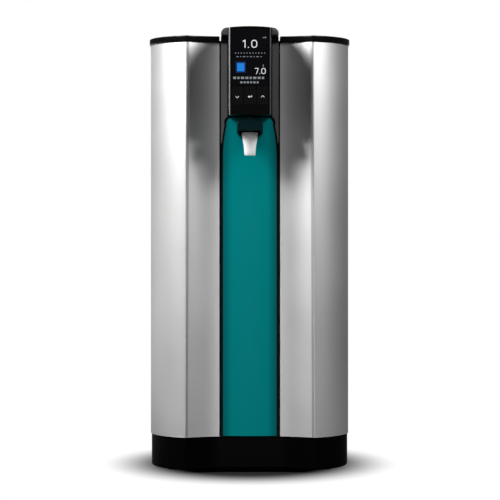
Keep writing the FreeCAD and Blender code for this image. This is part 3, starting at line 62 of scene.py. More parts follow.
LOG = logging.getLogger("water_system")
MILLIMETRE = 0.001
SLACK = 0.01
LOOSE_SLACK = 0.1
FRAME_PIXELS = 500
X, Y, Z = range(3)
WHITE = (1.0, 1.0, 1.0, 1.0)
NOISE_MIDDLE = (0.25, 0.75)
SMUDGE_CELLS = 22.0
SMUDGE_DETAIL = 5.0
SMUDGE_SHARES = (0.85, 1.2)
GRAIN_DEPTH = 0.0002


# ---- finishes ----------------------------------------------------------------------------------

class NodeSheet:
    """A node tree with short calls for the nodes that the finishes and the room share."""

    MIX_COLOURS = slice(6, 8)
    MIX_RESULT = 2

    def __init__(self, owner: bpy.types.Material | bpy.types.World,
                 coordinates: str = "Object") -> None:
        """Turn on the nodes of a material or of the world.

        Args:
            owner: What the nodes belong to.
            coordinates: The coordinates that its patterns follow.
        """
        owner.use_nodes = True
        self.owner = owner
        self.tree = owner.node_tree
        self.place = self.add("TexCoord").outputs[coordinates]

    @property
    def axes(self) -> bpy.types.bpy_prop_collection:
        """The coordinates' X, Y and Z."""
        return self.add("SeparateXYZ", Vector=self.place).outputs

    def add(self, kind: str, **sockets: object) -> bpy.types.Node:
        """Add a node and fill its sockets with values or links.

        Args:
            kind: The node's type without its ShaderNode prefix.
            sockets: Input values or output sockets by input name, with _ for a space.

        Returns:
            The new node.
        """
        node = self.tree.nodes.new("ShaderNode" + kind)
        for name, value in sockets.items():
            self.feed(node.inputs[name.replace("_", " ")], value)
        return node

    def feed(self, socket: Socket, value: object) -> None:
        """Link an output to a socket, or set its plain value.

        Args:
            socket: The input to fill.
            value: An output socket or a plain value.
        """
        if isinstance(value, Socket):
            self.tree.links.new(value, socket)
        else:
            socket.default_value = value

    def shade(self, **sockets: object) -> None:
        """Fill the shader's sockets with values or links."""
        for name, value in sockets.items():
            self.feed(self.tree.nodes["Principled BSDF"].inputs[name.replace("_", " ")], value)

    def stretched(self, scale: Triple, shift: Triple = (0.0, 0.0, 0.0)) -> Socket:
        """The coordinates times a scale along each axis, plus a shift."""
        return self.add("Mapping", Vector=self.place, Scale=scale, Location=shift).outputs["Vector"]

    def noise(self, cells: float, detail: float = 3.0, vector: Optional[Socket] = None) -> Socket:
        """Noise over the surface.

        Args:
            cells: Cells per metre.
            detail: How many finer layers it has.
            vector: Coordinates other than the sheet's own.

        Returns:
            The noise's factor.
        """
        node = self.add("TexNoise", Vector=vector or self.place, Scale=cells, Detail=detail)
        return node.outputs["Fac"]

    def between(self, factor: Socket, low: float, high: float) -> Socket:
        """Bring a noise's factor from its usual middle range to two limits.

        Args:
            factor: The noise's factor.
            low: What it becomes at the range's start.
            high: What it becomes at the range's end.

        Returns:
            The new value.
        """
        start, stop = NOISE_MIDDLE
        return self.add("MapRange", Value=factor, From_Min=start, From_Max=stop, To_Min=low,
                        To_Max=high).outputs["Result"]

    def ramp(self, value: Socket, start: float, stop: float, low: float = 0.0) -> Socket:
        """A factor that rises smoothly to 1 as a value goes between two limits.

        Args:
            value: What the factor follows.
            start: Where the rise starts.
            stop: Where it ends.
            low: The factor before the rise.

        Returns:
            The factor.
        """
        node = self.add("MapRange", Value=value, From_Min=start, From_Max=stop, To_Min=low)
        node.interpolation_type = "SMOOTHSTEP"
        return node.outputs["Result"]

    def blended(self, factor: Socket, first: Colour | Socket, second: Colour | Socket) -> Socket:
        """Two colours mixed by a factor.

        Args:
            factor: 0 for the first colour and 1 for the second.
            first: A colour or a link.
            second: Another colour or link.

        Returns:
            The mixed colour.
        """
        node = self.tree.nodes.new("ShaderNodeMix")
        node.data_type = "RGBA"
        self.feed(node.inputs[0], factor)
        for socket, colour in zip(node.inputs[self.MIX_COLOURS], (first, second)):
            self.feed(socket, colour if isinstance(colour, Socket) else (*colour, 1.0))
        return node.outputs[self.MIX_RESULT]

    def mottled(self, pattern: Socket, colour: Colour, share: float) -> Socket:
        """A colour that keeps only a share of itself where a pattern is dark."""
        darkest = tuple(part * share for part in colour)
        return self.blended(self.between(pattern, 0.0, 1.0), darkest, colour)

    def smudged(self, roughness: float) -> Socket:
        """A roughness that varies with large soft smudges."""
        least, most = (roughness * share for share in SMUDGE_SHARES)
        return self.between(self.noise(SMUDGE_CELLS, SMUDGE_DETAIL), least, most)

    def arithmetic(self, operation: str, *values: object) -> Socket:
        """One step of arithmetic.

        Args:
            operation: The Math node's operation.
            values: Plain numbers or links.

        Returns:
            The result.
        """
        node = self.tree.nodes.new("ShaderNodeMath")
        node.operation = operation
        for socket, value in zip(node.inputs, values):
            self.feed(socket, value)
        return node.outputs[0]

    def bump(self, height: Socket, strength: float, distance: float = GRAIN_DEPTH) -> None:
        """Raise the surface by a height."""
        node = self.add("Bump", Height=height, Strength=strength, Distance=distance)
        self.shade(Normal=node.outputs["Normal"])


class Coating:
    """What all finishes share: each lays out the nodes of its own material."""

    def make(self, name: str) -> bpy.types.Material:
        """Build the material.

        Args:
            name: The material's name.

        Returns:
            The new material.
        """
        sheet = NodeSheet(bpy.data.materials.new(name))
        self.lay(sheet)
        return sheet.owner

    def lay(self, sheet: NodeSheet) -> None:
        """Lay out the finish's nodes on an empty sheet."""
        raise NotImplementedError


@dataclass(frozen=True)
class MetallicPaint(Coating):
    """Silver metallic paint: fine flakes, slight orange peel and a darker painted shade line along
    the ridges.

    The line lies where the distance from the middle, plus the lean's share of the height, passes
    the ridge; its spans say how far its two sides fade.
    """

    colour: Colour = (0.90, 0.90, 0.895)
    shade: Colour = (0.84, 0.84, 0.835)
    painted_ridge_shade: Colour = (0.52, 0.52, 0.518)
    ridge: float = 0.0760
    lean: float = 0.0043
    inner_span: Span = (-0.0050, -0.0020)
    outer_span: Span = (0.0, 0.0008)
    depth_span: Span = (-0.1432, -0.1428)
    rim: Colour = (0.3, 0.3, 0.3)
    gleam: float = 0.3
    metallic: float = 0.96
    roughness: Span = (0.46, 0.52)
    cloud_cells: float = 9.0
    flakes: float = 2600.0
    peel: float = 420.0
    relief: float = 0.06

    def lay(self, sheet: NodeSheet) -> None:
        """Lay out the flakes, the painted shade line along the ridge and the peel.

        Args:
            sheet: The material's empty sheet.
        """
        flake = sheet.noise(self.flakes, 2.0)
        paint = sheet.blended(sheet.between(flake, 0.0, 1.0), self.shade, self.colour)
        axes = sheet.axes
        # Painted shade: a band of darker paint along the ridge that fades out on both sides and
        # behind the ridge's front.
        away = sheet.arithmetic("ADD", sheet.arithmetic("ABSOLUTE", axes["X"]),
                                sheet.arithmetic("MULTIPLY", axes["Z"], self.lean))
        line, beyond = (sheet.ramp(away, *(self.ridge + offset for offset in span))
                        for span in (self.inner_span, self.outer_span))
        for fade in (beyond, sheet.ramp(axes["Y"], *self.depth_span)):
            line = sheet.arithmetic("SUBTRACT", line, fade)
        sheet.shade(Base_Color=sheet.blended(line, paint, self.painted_ridge_shade), Metallic=self.metallic,
                    Roughness=sheet.between(sheet.noise(self.cloud_cells), *self.roughness),
                    Specular_IOR_Level=self.gleam, Specular_Tint=(*self.rim, 1.0))
        sheet.bump(sheet.noise(self.peel), self.relief)


@dataclass(frozen=True)
class MouldedPlastic(Coating):
    """Moulded plastic: an even colour with faint mottling, smudges in its gloss and fine grain."""

    colour: Colour
    roughness: float = 0.3
    grain: float = 900.0
    relief: float = 0.04
    mottle: float = 0.12
    clarity: float = 0.0
    gleam: float = 0.5
    depth: float = 0.0
    mottle_cells: float = 14.0

    def lay(self, sheet: NodeSheet) -> None:
        """Lay out the mottling, the smudges and the grain.

        Args:
            sheet: The material's empty sheet.
        """
        pattern = sheet.noise(self.mottle_cells)
        sheet.shade(Base_Color=sheet.mottled(pattern, self.colour, 1.0 - self.mottle),
                    Roughness=sheet.smudged(self.roughness), Specular_IOR_Level=self.gleam,
                    Transmission_Weight=self.clarity)
        if self.depth > 0.0:
            sheet.shade(Subsurface_Weight=1.0, Subsurface_Radius=(1.0, 1.0, 1.0),
                        Subsurface_Scale=self.depth)
        sheet.bump(sheet.noise(self.grain), self.relief)


@dataclass(frozen=True)
class EdgedGloss(Coating):
    """Gloss black with a painted highlight line along both long edges, a lighter satin metal that
    also reflects the lamps.
    """

    colour: Colour = (0.0022, 0.0022, 0.0023)
    line: Colour = (0.30, 0.30, 0.305)
    right_line_painted_darker: Colour = (0.11, 0.11, 0.112)
    line_from: float = 0.0232
    line_to: float = 0.0244
    soft: float = 0.0003
    roughness: float = 0.14
    line_roughness: float = 0.42
    gleam: float = 0.4
    grain: float = 300.0
    relief: float = 0.015

    def lay(self, sheet: NodeSheet) -> None:
        """Lay out the black and its two painted highlight lines.

        Args:
            sheet: The material's empty sheet.
        """
        across = sheet.axes["X"]
        away = sheet.arithmetic("ABSOLUTE", across)
        band = sheet.arithmetic("SUBTRACT",
                                sheet.ramp(away, self.line_from - self.soft, self.line_from),
                                sheet.ramp(away, self.line_to, self.line_to + self.soft))
        # Painted highlight lines. The right one is painted darker, as painted shade.
        line = sheet.blended(sheet.ramp(across, -self.line_from, self.line_from), self.line,
                             self.right_line_painted_darker)
        rough = sheet.arithmetic("MAXIMUM", sheet.smudged(self.roughness),
                                 sheet.arithmetic("MULTIPLY", band, self.line_roughness))
        sheet.shade(Base_Color=sheet.blended(band, self.colour, line), Metallic=band,
                    Roughness=rough, Specular_IOR_Level=self.gleam)
        sheet.bump(sheet.noise(self.grain), self.relief)


@dataclass(frozen=True)
class PanelLacquer(Coating):
    """The coloured panel's lacquer, with painted shade darkening it towards its long edges."""

    colour: Colour = (0.0, 0.172, 0.180)
    edge: Colour = (0.001, 0.097, 0.104)
    half_width: float = 0.0319
    even_share: float = 0.62
    roughness: Span = (0.29, 0.36)
    smudge_cells: float = 18.0
    gleam: float = 0.02
    grain: float = 500.0
    relief: float = 0.03

    def lay(self, sheet: NodeSheet) -> None:
        """Lay out the colour and its painted shade towards the long edges.

        Args:
            sheet: The material's empty sheet.
        """
        away = sheet.arithmetic("ABSOLUTE", sheet.axes["X"])
        # Painted shade: the colour darkens towards the long edges.
        rim = sheet.ramp(away, self.half_width * self.even_share, self.half_width)
        smudges = sheet.noise(self.smudge_cells, SMUDGE_DETAIL)
        sheet.shade(Base_Color=sheet.blended(rim, self.colour, self.edge),
                    Roughness=sheet.between(smudges, *self.roughness),
                    Specular_IOR_Level=self.gleam)
        sheet.bump(sheet.noise(self.grain), self.relief)


@dataclass(frozen=True)
class BrushedMetal(Coating):
    """Sheet or turned metal with fine lines along one axis."""

    colour: Colour
    roughness: float = 0.32
    stretch: Triple = (60.0, 2400.0, 2400.0)
    spread: float = 0.04
    shade: float = 0.9
    relief: float = 0.03
    depth: float = 0.0001

    def lay(self, sheet: NodeSheet) -> None:
        """Lay out the fine lines.

        Args:
            sheet: The material's empty sheet.
        """
        lines = sheet.noise(1.0, 4.0, sheet.stretched(self.stretch))
        rough = sheet.between(lines, self.roughness - self.spread, self.roughness + self.spread)
        sheet.shade(Base_Color=sheet.mottled(lines, self.colour, self.shade), Roughness=rough,
                    Metallic=1.0)
        sheet.bump(lines, self.relief, self.depth)


@dataclass(frozen=True)
class CircuitBoard(Coating):
    """Green solder mask on the board's faces and black plastic on what stands out beyond them."""

    mask: Colour = (0.02, 0.13, 0.06)
    package: Colour = (0.012, 0.012, 0.013)
    face: float = 0.0923
    soft: float = 0.0003
    weave_cells: float = 600.0
    weave_share: float = 0.75
    roughness: Span = (0.30, 0.42)
    relief: float = 0.1

    def lay(self, sheet: NodeSheet) -> None:
        """Lay out the mask, its weave and the black parts.

        Args:
            sheet: The material's empty sheet.
        """
        beyond = sheet.ramp(sheet.axes["X"], self.face, self.face + self.soft)
        weave = sheet.noise(self.weave_cells)
        mask = sheet.mottled(weave, self.mask, self.weave_share)
        smudges = sheet.noise(SMUDGE_CELLS, SMUDGE_DETAIL)
        sheet.shade(Base_Color=sheet.blended(beyond, mask, self.package),
                    Roughness=sheet.between(smudges, *self.roughness))
        sheet.bump(weave, self.relief)


@dataclass(frozen=True)
class Rubber(Coating):
    """Black rubber with a dusty bloom."""

    colour: Colour = (0.002, 0.002, 0.002)
    bloom: Colour = (0.004, 0.004, 0.004)
    bloom_cells: float = 60.0
    gleam: float = 0.05
    roughness: Span = (0.6, 0.8)
    rub_cells: float = 90.0
    grain: float = 1500.0
    relief: float = 0.15

    def lay(self, sheet: NodeSheet) -> None:
        """Lay out the bloom and the grain.

        Args:
            sheet: The material's empty sheet.
        """
        bloom = sheet.between(sheet.noise(self.bloom_cells), 0.0, 1.0)
        sheet.shade(Base_Color=sheet.blended(bloom, self.colour, self.bloom),
                    Roughness=sheet.between(sheet.noise(self.rub_cells), *self.roughness),
                    Specular_IOR_Level=self.gleam)
        sheet.bump(sheet.noise(self.grain), self.relief)


@dataclass(frozen=True)
class Glow(Coating):
    """Lit pixels behind the display's glass, with a fine raster."""

    colour: Colour
    strength: float = 1.0
    roughness: float = 0.4
    raster_cells: float = 2400.0
    raster_share: float = 0.86

    def lay(self, sheet: NodeSheet) -> None:
        """Lay out the light and its raster.

        Args:
            sheet: The material's empty sheet.
        """
        raster = sheet.noise(self.raster_cells, 0.0)
        lit = sheet.mottled(raster, self.colour, self.raster_share)
        sheet.shade(Base_Color=(0.0, 0.0, 0.0, 1.0), Roughness=self.roughness, Emission_Color=lit,
                    Emission_Strength=self.strength)


class Finish(Enum):
    """Every finish on the object, by the record's slot that it belongs to."""

    SILVER = ("silver_paint", MetallicPaint())
    # Painted shade: a darker copy of the silver paint for the column cover beside the head, with a
    # painted dark line along the pod's sides.
    SILVER_IN_PAINTED_SHADE = ("silver_paint", MetallicPaint(
        (0.23, 0.23, 0.229), (0.21, 0.21, 0.21), (0.03, 0.03, 0.03), ridge=0.0264, lean=0.0,
        inner_span=(-0.0020, -0.0012), outer_span=(0.0003, 0.0012), depth_span=(-0.10, -0.09)))
    GLOSS_BLACK = ("gloss_black", MouldedPlastic((0.0022, 0.0022, 0.0023), 0.14, 300.0, 0.015, 0.2,
                                                 gleam=0.4))
    FASCIA = ("gloss_black", EdgedGloss())
    HOUSING = ("gloss_black", MetallicPaint((0.21, 0.21, 0.21), (0.19, 0.19, 0.19), peel=300.0))
    BASE = ("base_plastic", MouldedPlastic((0.0010, 0.0010, 0.0011), 0.30, 1400.0, 0.05, 0.15,
                                           gleam=0.03))
    BLACK_SHEET = ("black_sheet", MouldedPlastic((0.010, 0.010, 0.011), 0.4, 900.0, 0.05))
    TEAL = ("teal_panel", PanelLacquer())
    HOOD = ("hood_plastic", MouldedPlastic((0.001, 0.010, 0.0115), 0.14, 300.0, 0.015, 0.15,
                                           gleam=0.6))
    KEY = ("key_plastic", MouldedPlastic((0.0045, 0.0045, 0.005), 0.24, 1200.0, 0.03, gleam=0.2))
    WINDOW = ("window_glass", MouldedPlastic((0.003, 0.003, 0.004), 0.08, 120.0, 0.006, 0.1,
                                             gleam=0.25))
    DISPLAY = ("display", MouldedPlastic((0.02, 0.022, 0.025), 0.3))
    WHITE = ("white_plastic", MouldedPlastic((0.86, 0.86, 0.85), 0.3, 700.0, 0.02, 0.03,
                                             depth=0.02))
    TANK = ("tank_plastic", MouldedPlastic((0.58, 0.60, 0.61), 0.42, 500.0, 0.04, 0.05,
                                           clarity=0.15))
    CARTRIDGE = ("cartridge_plastic", MouldedPlastic((0.64, 0.65, 0.66), 0.28, 700.0, 0.02, 0.04))
    TUBE = ("tube", MouldedPlastic((0.72, 0.76, 0.78), 0.16, 300.0, 0.01, 0.04, clarity=0.4))
    RUBBER = ("rubber", Rubber())
    STEEL = ("steel_sheet", BrushedMetal((0.56, 0.57, 0.58)))
    REAR = ("rear_paint", MouldedPlastic((0.30, 0.31, 0.32), 0.42, 1600.0, 0.12, 0.08))
    LAMP = ("lamp_metal", BrushedMetal((0.66, 0.67, 0.68), 0.28, (900.0, 900.0, 40.0)))
    MAGNET = ("magnet", MouldedPlastic((0.018, 0.018, 0.020), 0.55, 700.0, 0.12, 0.2, gleam=0.4))
    BRASS = ("brass", BrushedMetal((0.72, 0.56, 0.30), 0.24, (900.0, 60.0, 900.0)))
    ROCKER = ("rocker_plastic", MouldedPlastic((0.018, 0.018, 0.018), 0.26, 900.0, 0.03))
    PORT = ("port_plastic", MouldedPlastic((0.15, 0.155, 0.16), 0.36, 900.0, 0.05))
    LEVER = ("lever_plastic", MouldedPlastic((0.02, 0.15, 0.38), 0.3, 900.0, 0.04))
    CIRCUIT = ("circuit_board", CircuitBoard())
    FLAT_CABLE = ("flat_cable", MouldedPlastic((0.50, 0.29, 0.08), 0.35, 600.0, 0.05))
    PIXEL_WHITE = ("display", Glow((0.86, 0.88, 0.90), 1.0))
    PIXEL_GREY = ("display", Glow((0.30, 0.33, 0.36), 0.8))
    PIXEL_BLUE = ("display", Glow((0.010, 0.225, 0.760), 1.0))
    PIXEL_DIM = ("display", Glow((0.001, 0.020, 0.080), 1.0))

    @property
    def slot(self) -> str:
        """The record's material slot."""
        return self.value[0]

    def material(self) -> bpy.types.Material:
        """The finish's material, made on its first use."""
        name = f"finish_{self.name.lower()}"
        return bpy.data.materials.get(name) or self.value[1].make(name)


# ---- shapes ------------------------------------------------------------------------------------

FRONT = Matrix(((1, 0, 0, 0), (0, 0, 1, 0), (0, 1, 0, 0), (0, 0, 0, 1)))
EdgeTest = Callable[[Edge], bool]


def only(kind: type, items: list) -> list:
    """The items of one kind out of what an operator gives back."""
    return [item for item in items if isinstance(item, kind)]


class Draft:
    """A mesh under construction, in millimetres."""

    ARC_STEP = math.radians(3.0)
    SAME_PLACE = 1e-4
    CREASE = math.radians(32.0)

    def __init__(self) -> None:
        """Start with nothing."""
        self.mesh = bmesh.new()

    def chain(self, stops: list[Stop], level: float = 0.0, steps: int = 0) -> list[Edge]:
        """Draw a closed path of straight runs and arcs at one level.

        Args:
            stops: Points. One with a third value is reached by an arc, whose centre lies to the
                left of the way there for a positive radius and to the right for a negative one.
            level: The depth that the path lies at.
            steps: How many runs each arc has, or 0 for as many as its angle needs.

        Returns:
            The path's edges.
        """
        mesh = self.mesh
        first = last = mesh.verts.new((*stops[0][:2], level))
        before = set(mesh.edges)
        for stop in stops[1:] + stops[:1]:
            here = Vector((*stop[:2], level))
            if len(stop) == 2:
                end = mesh.verts.new(here)
                mesh.edges.new((last, end))
            else:
                end = self.sweep(last, here, stop[2], steps)
            last = end
        bmesh.ops.weld_verts(mesh, targetmap={last: first})
        return [edge for edge in mesh.edges if edge not in before]

    def sweep(self, start: Vert, stop: Vector, radius: float, steps: int) -> Vert:
        """Spin a vertex along an arc.

        Args:
            start: The vertex to start from.
            stop: Where the arc ends.
            radius: Positive for a centre on the left of the way there, negative for the right.
            steps: How many runs the arc has, or 0 for as many as its angle needs.

        Returns:
            The arc's last vertex.
        """
        chord = stop - start.co
        left = Vector((-chord.y, chord.x, 0.0)).normalized()
        height = math.sqrt(max(radius * radius - chord.length_squared / 4.0, 0.0))
        centre = (start.co + stop) / 2.0 + left * math.copysign(height, radius)
        angle = 2.0 * math.asin(min(1.0, chord.length / (2.0 * abs(radius))))
        spun = bmesh.ops.spin(self.mesh, geom=[start], cent=centre, axis=(0.0, 0.0, 1.0),
                              angle=math.copysign(angle, radius), dvec=(0.0, 0.0, 0.0),
                              steps=steps or max(2, round(angle / self.ARC_STEP)))
        return only(Vert, spun["geom_last"])[0]

    def prism(self, outlines: list[list[Stop]], low: float, high: float) -> "Draft":
        """Raise a flat face, with any holes, from one level to another.

        Args:
            outlines: The outer path, then the paths of the holes.
            low: The lower level.
            high: The upper level.

        Returns:
            This draft.
        """
        edges = [edge for outline in outlines for edge in self.chain(outline, low)]
        if len(outlines) == 1:
            made = bmesh.ops.contextual_create(self.mesh, geom=edges)["faces"]
        else:
            made = only(Face, bmesh.ops.triangle_fill(self.mesh, use_beauty=True,
                                                      edges=edges)["geom"])
        self.push(made, (0.0, 0.0, high - low))
        return self

    def paired(self, across: Span, along: Span, up: Span) -> "Draft":
        """Raise a block on the right and its twin on the left.

        Args:
            across: The right block's limits along X.
            along: Both blocks' limits along Y.
            up: Both blocks' limits along Z.

        Returns:
            This draft.
        """
        inner, outer = across
        for low, high in (across, (-outer, -inner)):
            self.prism([rectangle(low, high, *along)], *up)
        return self

    def push(self, faces: list[Face], way: Stop) -> None:
        """Extrude faces along a vector."""
        moved = bmesh.ops.extrude_face_region(self.mesh, geom=faces)["geom"]
        bmesh.ops.translate(self.mesh, verts=only(Vert, moved), vec=way)

    def loft(self, low_path: list[Stop], high_path: list[Stop], low: float, high: float,
             steps: int) -> "Draft":
        """Join two closed paths of the same make-up at two levels into one solid.

        Args:
            low_path: The path at the lower level.
            high_path: The path at the upper level.
            low: The lower level.
            high: The upper level.
            steps: How many runs each arc has.

        Returns:
            This draft.
        """
        loops = [self.chain(path, level, steps=steps)
                 for path, level in ((low_path, low), (high_path, high))]
        for loop in loops:
            bmesh.ops.contextual_create(self.mesh, geom=loop)
        bmesh.ops.bridge_loops(self.mesh, edges=loops[0] + loops[1])
        return self

    def turned(self, profile: list[Stop], centre: Span, steps: int = 64) -> "Draft":
        """Spin a closed profile of radius and height once round an upright axis.

        Args:
            profile: Radius and height stops all round the section.
            centre: The axis's x and y.
            steps: How many faces the turn has.

        Returns:
            This draft.
        """
        edges = self.chain(profile)
        verts = list({vert for edge in edges for vert in edge.verts})
        bmesh.ops.transform(self.mesh, matrix=FRONT, verts=verts)
        bmesh.ops.translate(self.mesh, verts=verts, vec=(*centre, 0.0))
        bmesh.ops.spin(self.mesh, geom=verts + edges, cent=(*centre, 0.0), axis=(0.0, 0.0, 1.0),
                       angle=math.tau, steps=steps, dvec=(0.0, 0.0, 0.0), use_merge=True)
        bmesh.ops.remove_doubles(self.mesh, verts=self.mesh.verts, dist=self.SAME_PLACE)
        return self

    def cut(self, point: Stop, normal: Stop, clear: bool = False) -> list[Edge]:
        """Cut every face along a plane.

        Args:
            point: A point on the plane.
            normal: The plane's direction.
            clear: Whether what lies beyond the plane goes.

        Returns:
            The edges along the cut.
        """
        parts = [*self.mesh.verts, *self.mesh.edges, *self.mesh.faces]
        made = bmesh.ops.bisect_plane(self.mesh, geom=parts, dist=self.SAME_PLACE, plane_co=point,
                                      plane_no=normal, clear_outer=clear)
        return only(Edge, made["geom_cut"])

    def sliced(self, axis: int, levels: list[float]) -> "Draft":
        """Cut every face at some levels along an axis, and keep both sides.

        Args:
            axis: The axis's number.
            levels: Where the cuts lie on it.

        Returns:
            This draft.
        """
        across = Matrix.Identity(3)[axis]
        for level in levels:
            self.cut(across * level, across)
        return self

    def trimmed(self, point: Stop, normal: Stop) -> "Draft":
        """Cut away what lies beyond a plane and close the cut."""
        bmesh.ops.contextual_create(self.mesh, geom=self.cut(point, normal, clear=True))
        return self

    def sunk(self, chosen: Callable[[Face], bool], way: Stop) -> "Draft":
        """Push faces in along a vector, with walls round them.

        Args:
            chosen: Says whether a face is pushed.
            way: How far it goes.

        Returns:
            This draft.
        """
        faces = [face for face in self.mesh.faces if chosen(face)]
        self.push(faces, way)
        bmesh.ops.delete(self.mesh, geom=faces, context="FACES_ONLY")
        return self

    def shaped(self, move: Callable[[Vector], Vector]) -> "Draft":
        """Carry every vertex to a new place.

        Args:
            move: Gives the new place from the old one.

        Returns:
            This draft.
        """
        for vert in self.mesh.verts:
            vert.co = move(vert.co)
        return self

    def sided(self, side: float) -> "Draft":
        """Keep the draft on the right for 1, or mirror it to the left for -1."""
        bmesh.ops.scale(self.mesh, vec=(side, 1.0, 1.0), verts=self.mesh.verts)
        return self

    def stood(self) -> "Draft":
        """Stand the draft up, so that its drawing's y is the frame's Z and its levels run to +Y."""
        bmesh.ops.transform(self.mesh, matrix=FRONT, verts=self.mesh.verts)
        return self

    def bevel(self, size: Round, chosen: EdgeTest) -> "Draft":
        """Round the chosen edges.

        Args:
            size: The bevel's width and how many faces it has.
            chosen: Says whether an edge is rounded.

        Returns:
            This draft.
        """
        width, segments = size
        edges = [edge for edge in self.mesh.edges if edge.is_manifold and chosen(edge)]
        bmesh.ops.bevel(self.mesh, geom=edges, offset=width, offset_type="OFFSET",
                        segments=segments, profile=0.5, affect="EDGES", clamp_overlap=True,
                        material=-1)
        return self

    def piece(self, name: str, finish: Finish, body: str, *nodes: str) -> None:
        """Turn the draft into a finished piece of the object.

        Args:
            name: The piece's name.
            finish: What it is made of.
            body: The body that it rides on.
            nodes: The nodes that it stands for.
        """
        bmesh.ops.recalc_face_normals(self.mesh, faces=self.mesh.faces)
        if self.mesh.calc_volume(signed=True) < 0.0:
            bmesh.ops.reverse_faces(self.mesh, faces=self.mesh.faces)
        bmesh.ops.scale(self.mesh, vec=(MILLIMETRE,) * 3, verts=self.mesh.verts)
        data = bpy.data.meshes.new(name)
        self.mesh.to_mesh(data)
        self.mesh.free()
        data.shade_smooth()
        data.set_sharp_from_angle(angle=self.CREASE)
        data.materials.append(finish.material())
        thing = bpy.data.objects.new(name, data)
        bpy.context.scene.collection.objects.link(thing)
        weigh_normals(thing)
        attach(thing, body)
        if nodes:
            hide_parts(*nodes)
        LOG.info("%s: %d faces on %s", name, len(data.polygons), body)


def weigh_normals(thing: bpy.types.Object) -> None:
    """Let a piece's large faces stay flat beside its roundings."""
    modifier = thing.modifiers.new("Weighted", "WEIGHTED_NORMAL")
    modifier.keep_sharp = True


def sharp(edge: Edge, angle: float = 30.0) -> bool:
    """Whether an edge's faces meet at more than an angle in degrees."""
    return len(edge.link_faces) == 2 and edge.calc_face_angle(0.0) > math.radians(angle)


def at_level(edge: Edge, axis: int, level: float) -> bool:
    """Whether an edge lies wholly at one level along an axis."""
    return all(abs(vert.co[axis] - level) < SLACK for vert in edge.verts)


def rim(axis: int, *levels: float) -> EdgeTest:
    """A test for the sharp edges that lie at one of some levels along an axis."""
    return lambda edge: sharp(edge) and any(at_level(edge, axis, level) for level in levels)


def rectangle(x_low: float, x_high: float, y_low: float, y_high: float,
              corner: float = 0.0) -> list[Stop]:
    """A rectangular path.

    Args:
        x_low: Its left side.
        x_high: Its right side.
        y_low: Its lower side.
        y_high: Its upper side.
        corner: The radius of its corners, or 0 for sharp ones.

    Returns:
        The path's stops.
    """
    if corner <= 0.0:
        return [(x_low, y_low), (x_high, y_low), (x_high, y_high), (x_low, y_high)]
    return [
        (x_low + corner, y_low, corner), (x_high - corner, y_low),
        (x_high, y_low + corner, corner), (x_high, y_high - corner),
        (x_high - corner, y_high, corner), (x_low + corner, y_high),
        (x_low, y_high - corner, corner), (x_low, y_low + corner),
    ]


def both_sides(left: list[Stop]) -> list[Stop]:
    """A closed path that is the same on both sides of the middle.

    Args:
        left: The stops of its left half, from the top down. The first one's radius is that of the
            arc over the middle.

    Returns:
        The whole path.
    """
    arcs = [(), *(stop[2:] for stop in reversed(left[1:]))]
    right = [(-stop[0], stop[1], *arc) for stop, arc in zip(reversed(left), arcs)]
    return left + right


class Kept:
    """The frame's own nodes that stay in sight, smoothed and given their finishes."""

    SMOOTH_ANGLE = math.radians(28.0)
    SAME_PLACE = 1e-6
    # The column cover takes the darker copy of its slot's silver paint, as painted shade.
    OWN_FINISH = {"column_cover": Finish.SILVER_IN_PAINTED_SHADE}

    def __init__(self) -> None:
        """Build the smoothing group that the nodes share."""
        self.group = bpy.data.node_groups.new("smooth_skin", "GeometryNodeTree")
        for way in ("INPUT", "OUTPUT"):
            self.group.interface.new_socket("Geometry", in_out=way,
                                            socket_type="NodeSocketGeometry")
        nodes = self.group.nodes
        link = self.group.links.new
        entry = nodes.new("NodeGroupInput")
        merge = nodes.new("GeometryNodeMergeByDistance")
        merge.inputs["Distance"].default_value = self.SAME_PLACE
        faces = nodes.new("GeometryNodeSetShadeSmooth")
        angle = nodes.new("GeometryNodeInputMeshEdgeAngle")
        compare = nodes.new("FunctionNodeCompare")
        compare.operation = "LESS_THAN"
        compare.inputs["B"].default_value = self.SMOOTH_ANGLE
        edges = nodes.new("GeometryNodeSetShadeSmooth")
        edges.domain = "EDGE"
        leave = nodes.new("NodeGroupOutput")
        link(entry.outputs[0], merge.inputs["Geometry"])
        link(merge.outputs["Geometry"], faces.inputs["Geometry"])
        link(faces.outputs["Geometry"], edges.inputs["Geometry"])
        link(angle.outputs["Unsigned Angle"], compare.inputs["A"])
        link(compare.outputs["Result"], edges.inputs["Shade Smooth"])
        link(edges.outputs["Geometry"], leave.inputs[0])

    def dress(self) -> None:
        """Smooth every node and paint it from its slot, also where a piece takes its place."""
        finishes = {finish.slot: finish for finish in reversed(Finish)}
        slots = {entry["node"]: entry["material_slot"] for entry in frame["record"]["subparts"]}
        for name, thing in frame["nodes"].items():
            thing.data.materials.clear()
            finish = self.OWN_FINISH.get(name, finishes[slots[name]])
            thing.data.materials.append(finish.material())
            modifier = thing.modifiers.new("Smooth", "NODES")
            modifier.node_group = self.group
            weigh_normals(thing)
            LOG.info("%s: kept as %s", name, slots[name])


# ---- sub-assemblies ----------------------------------------------------------------------------

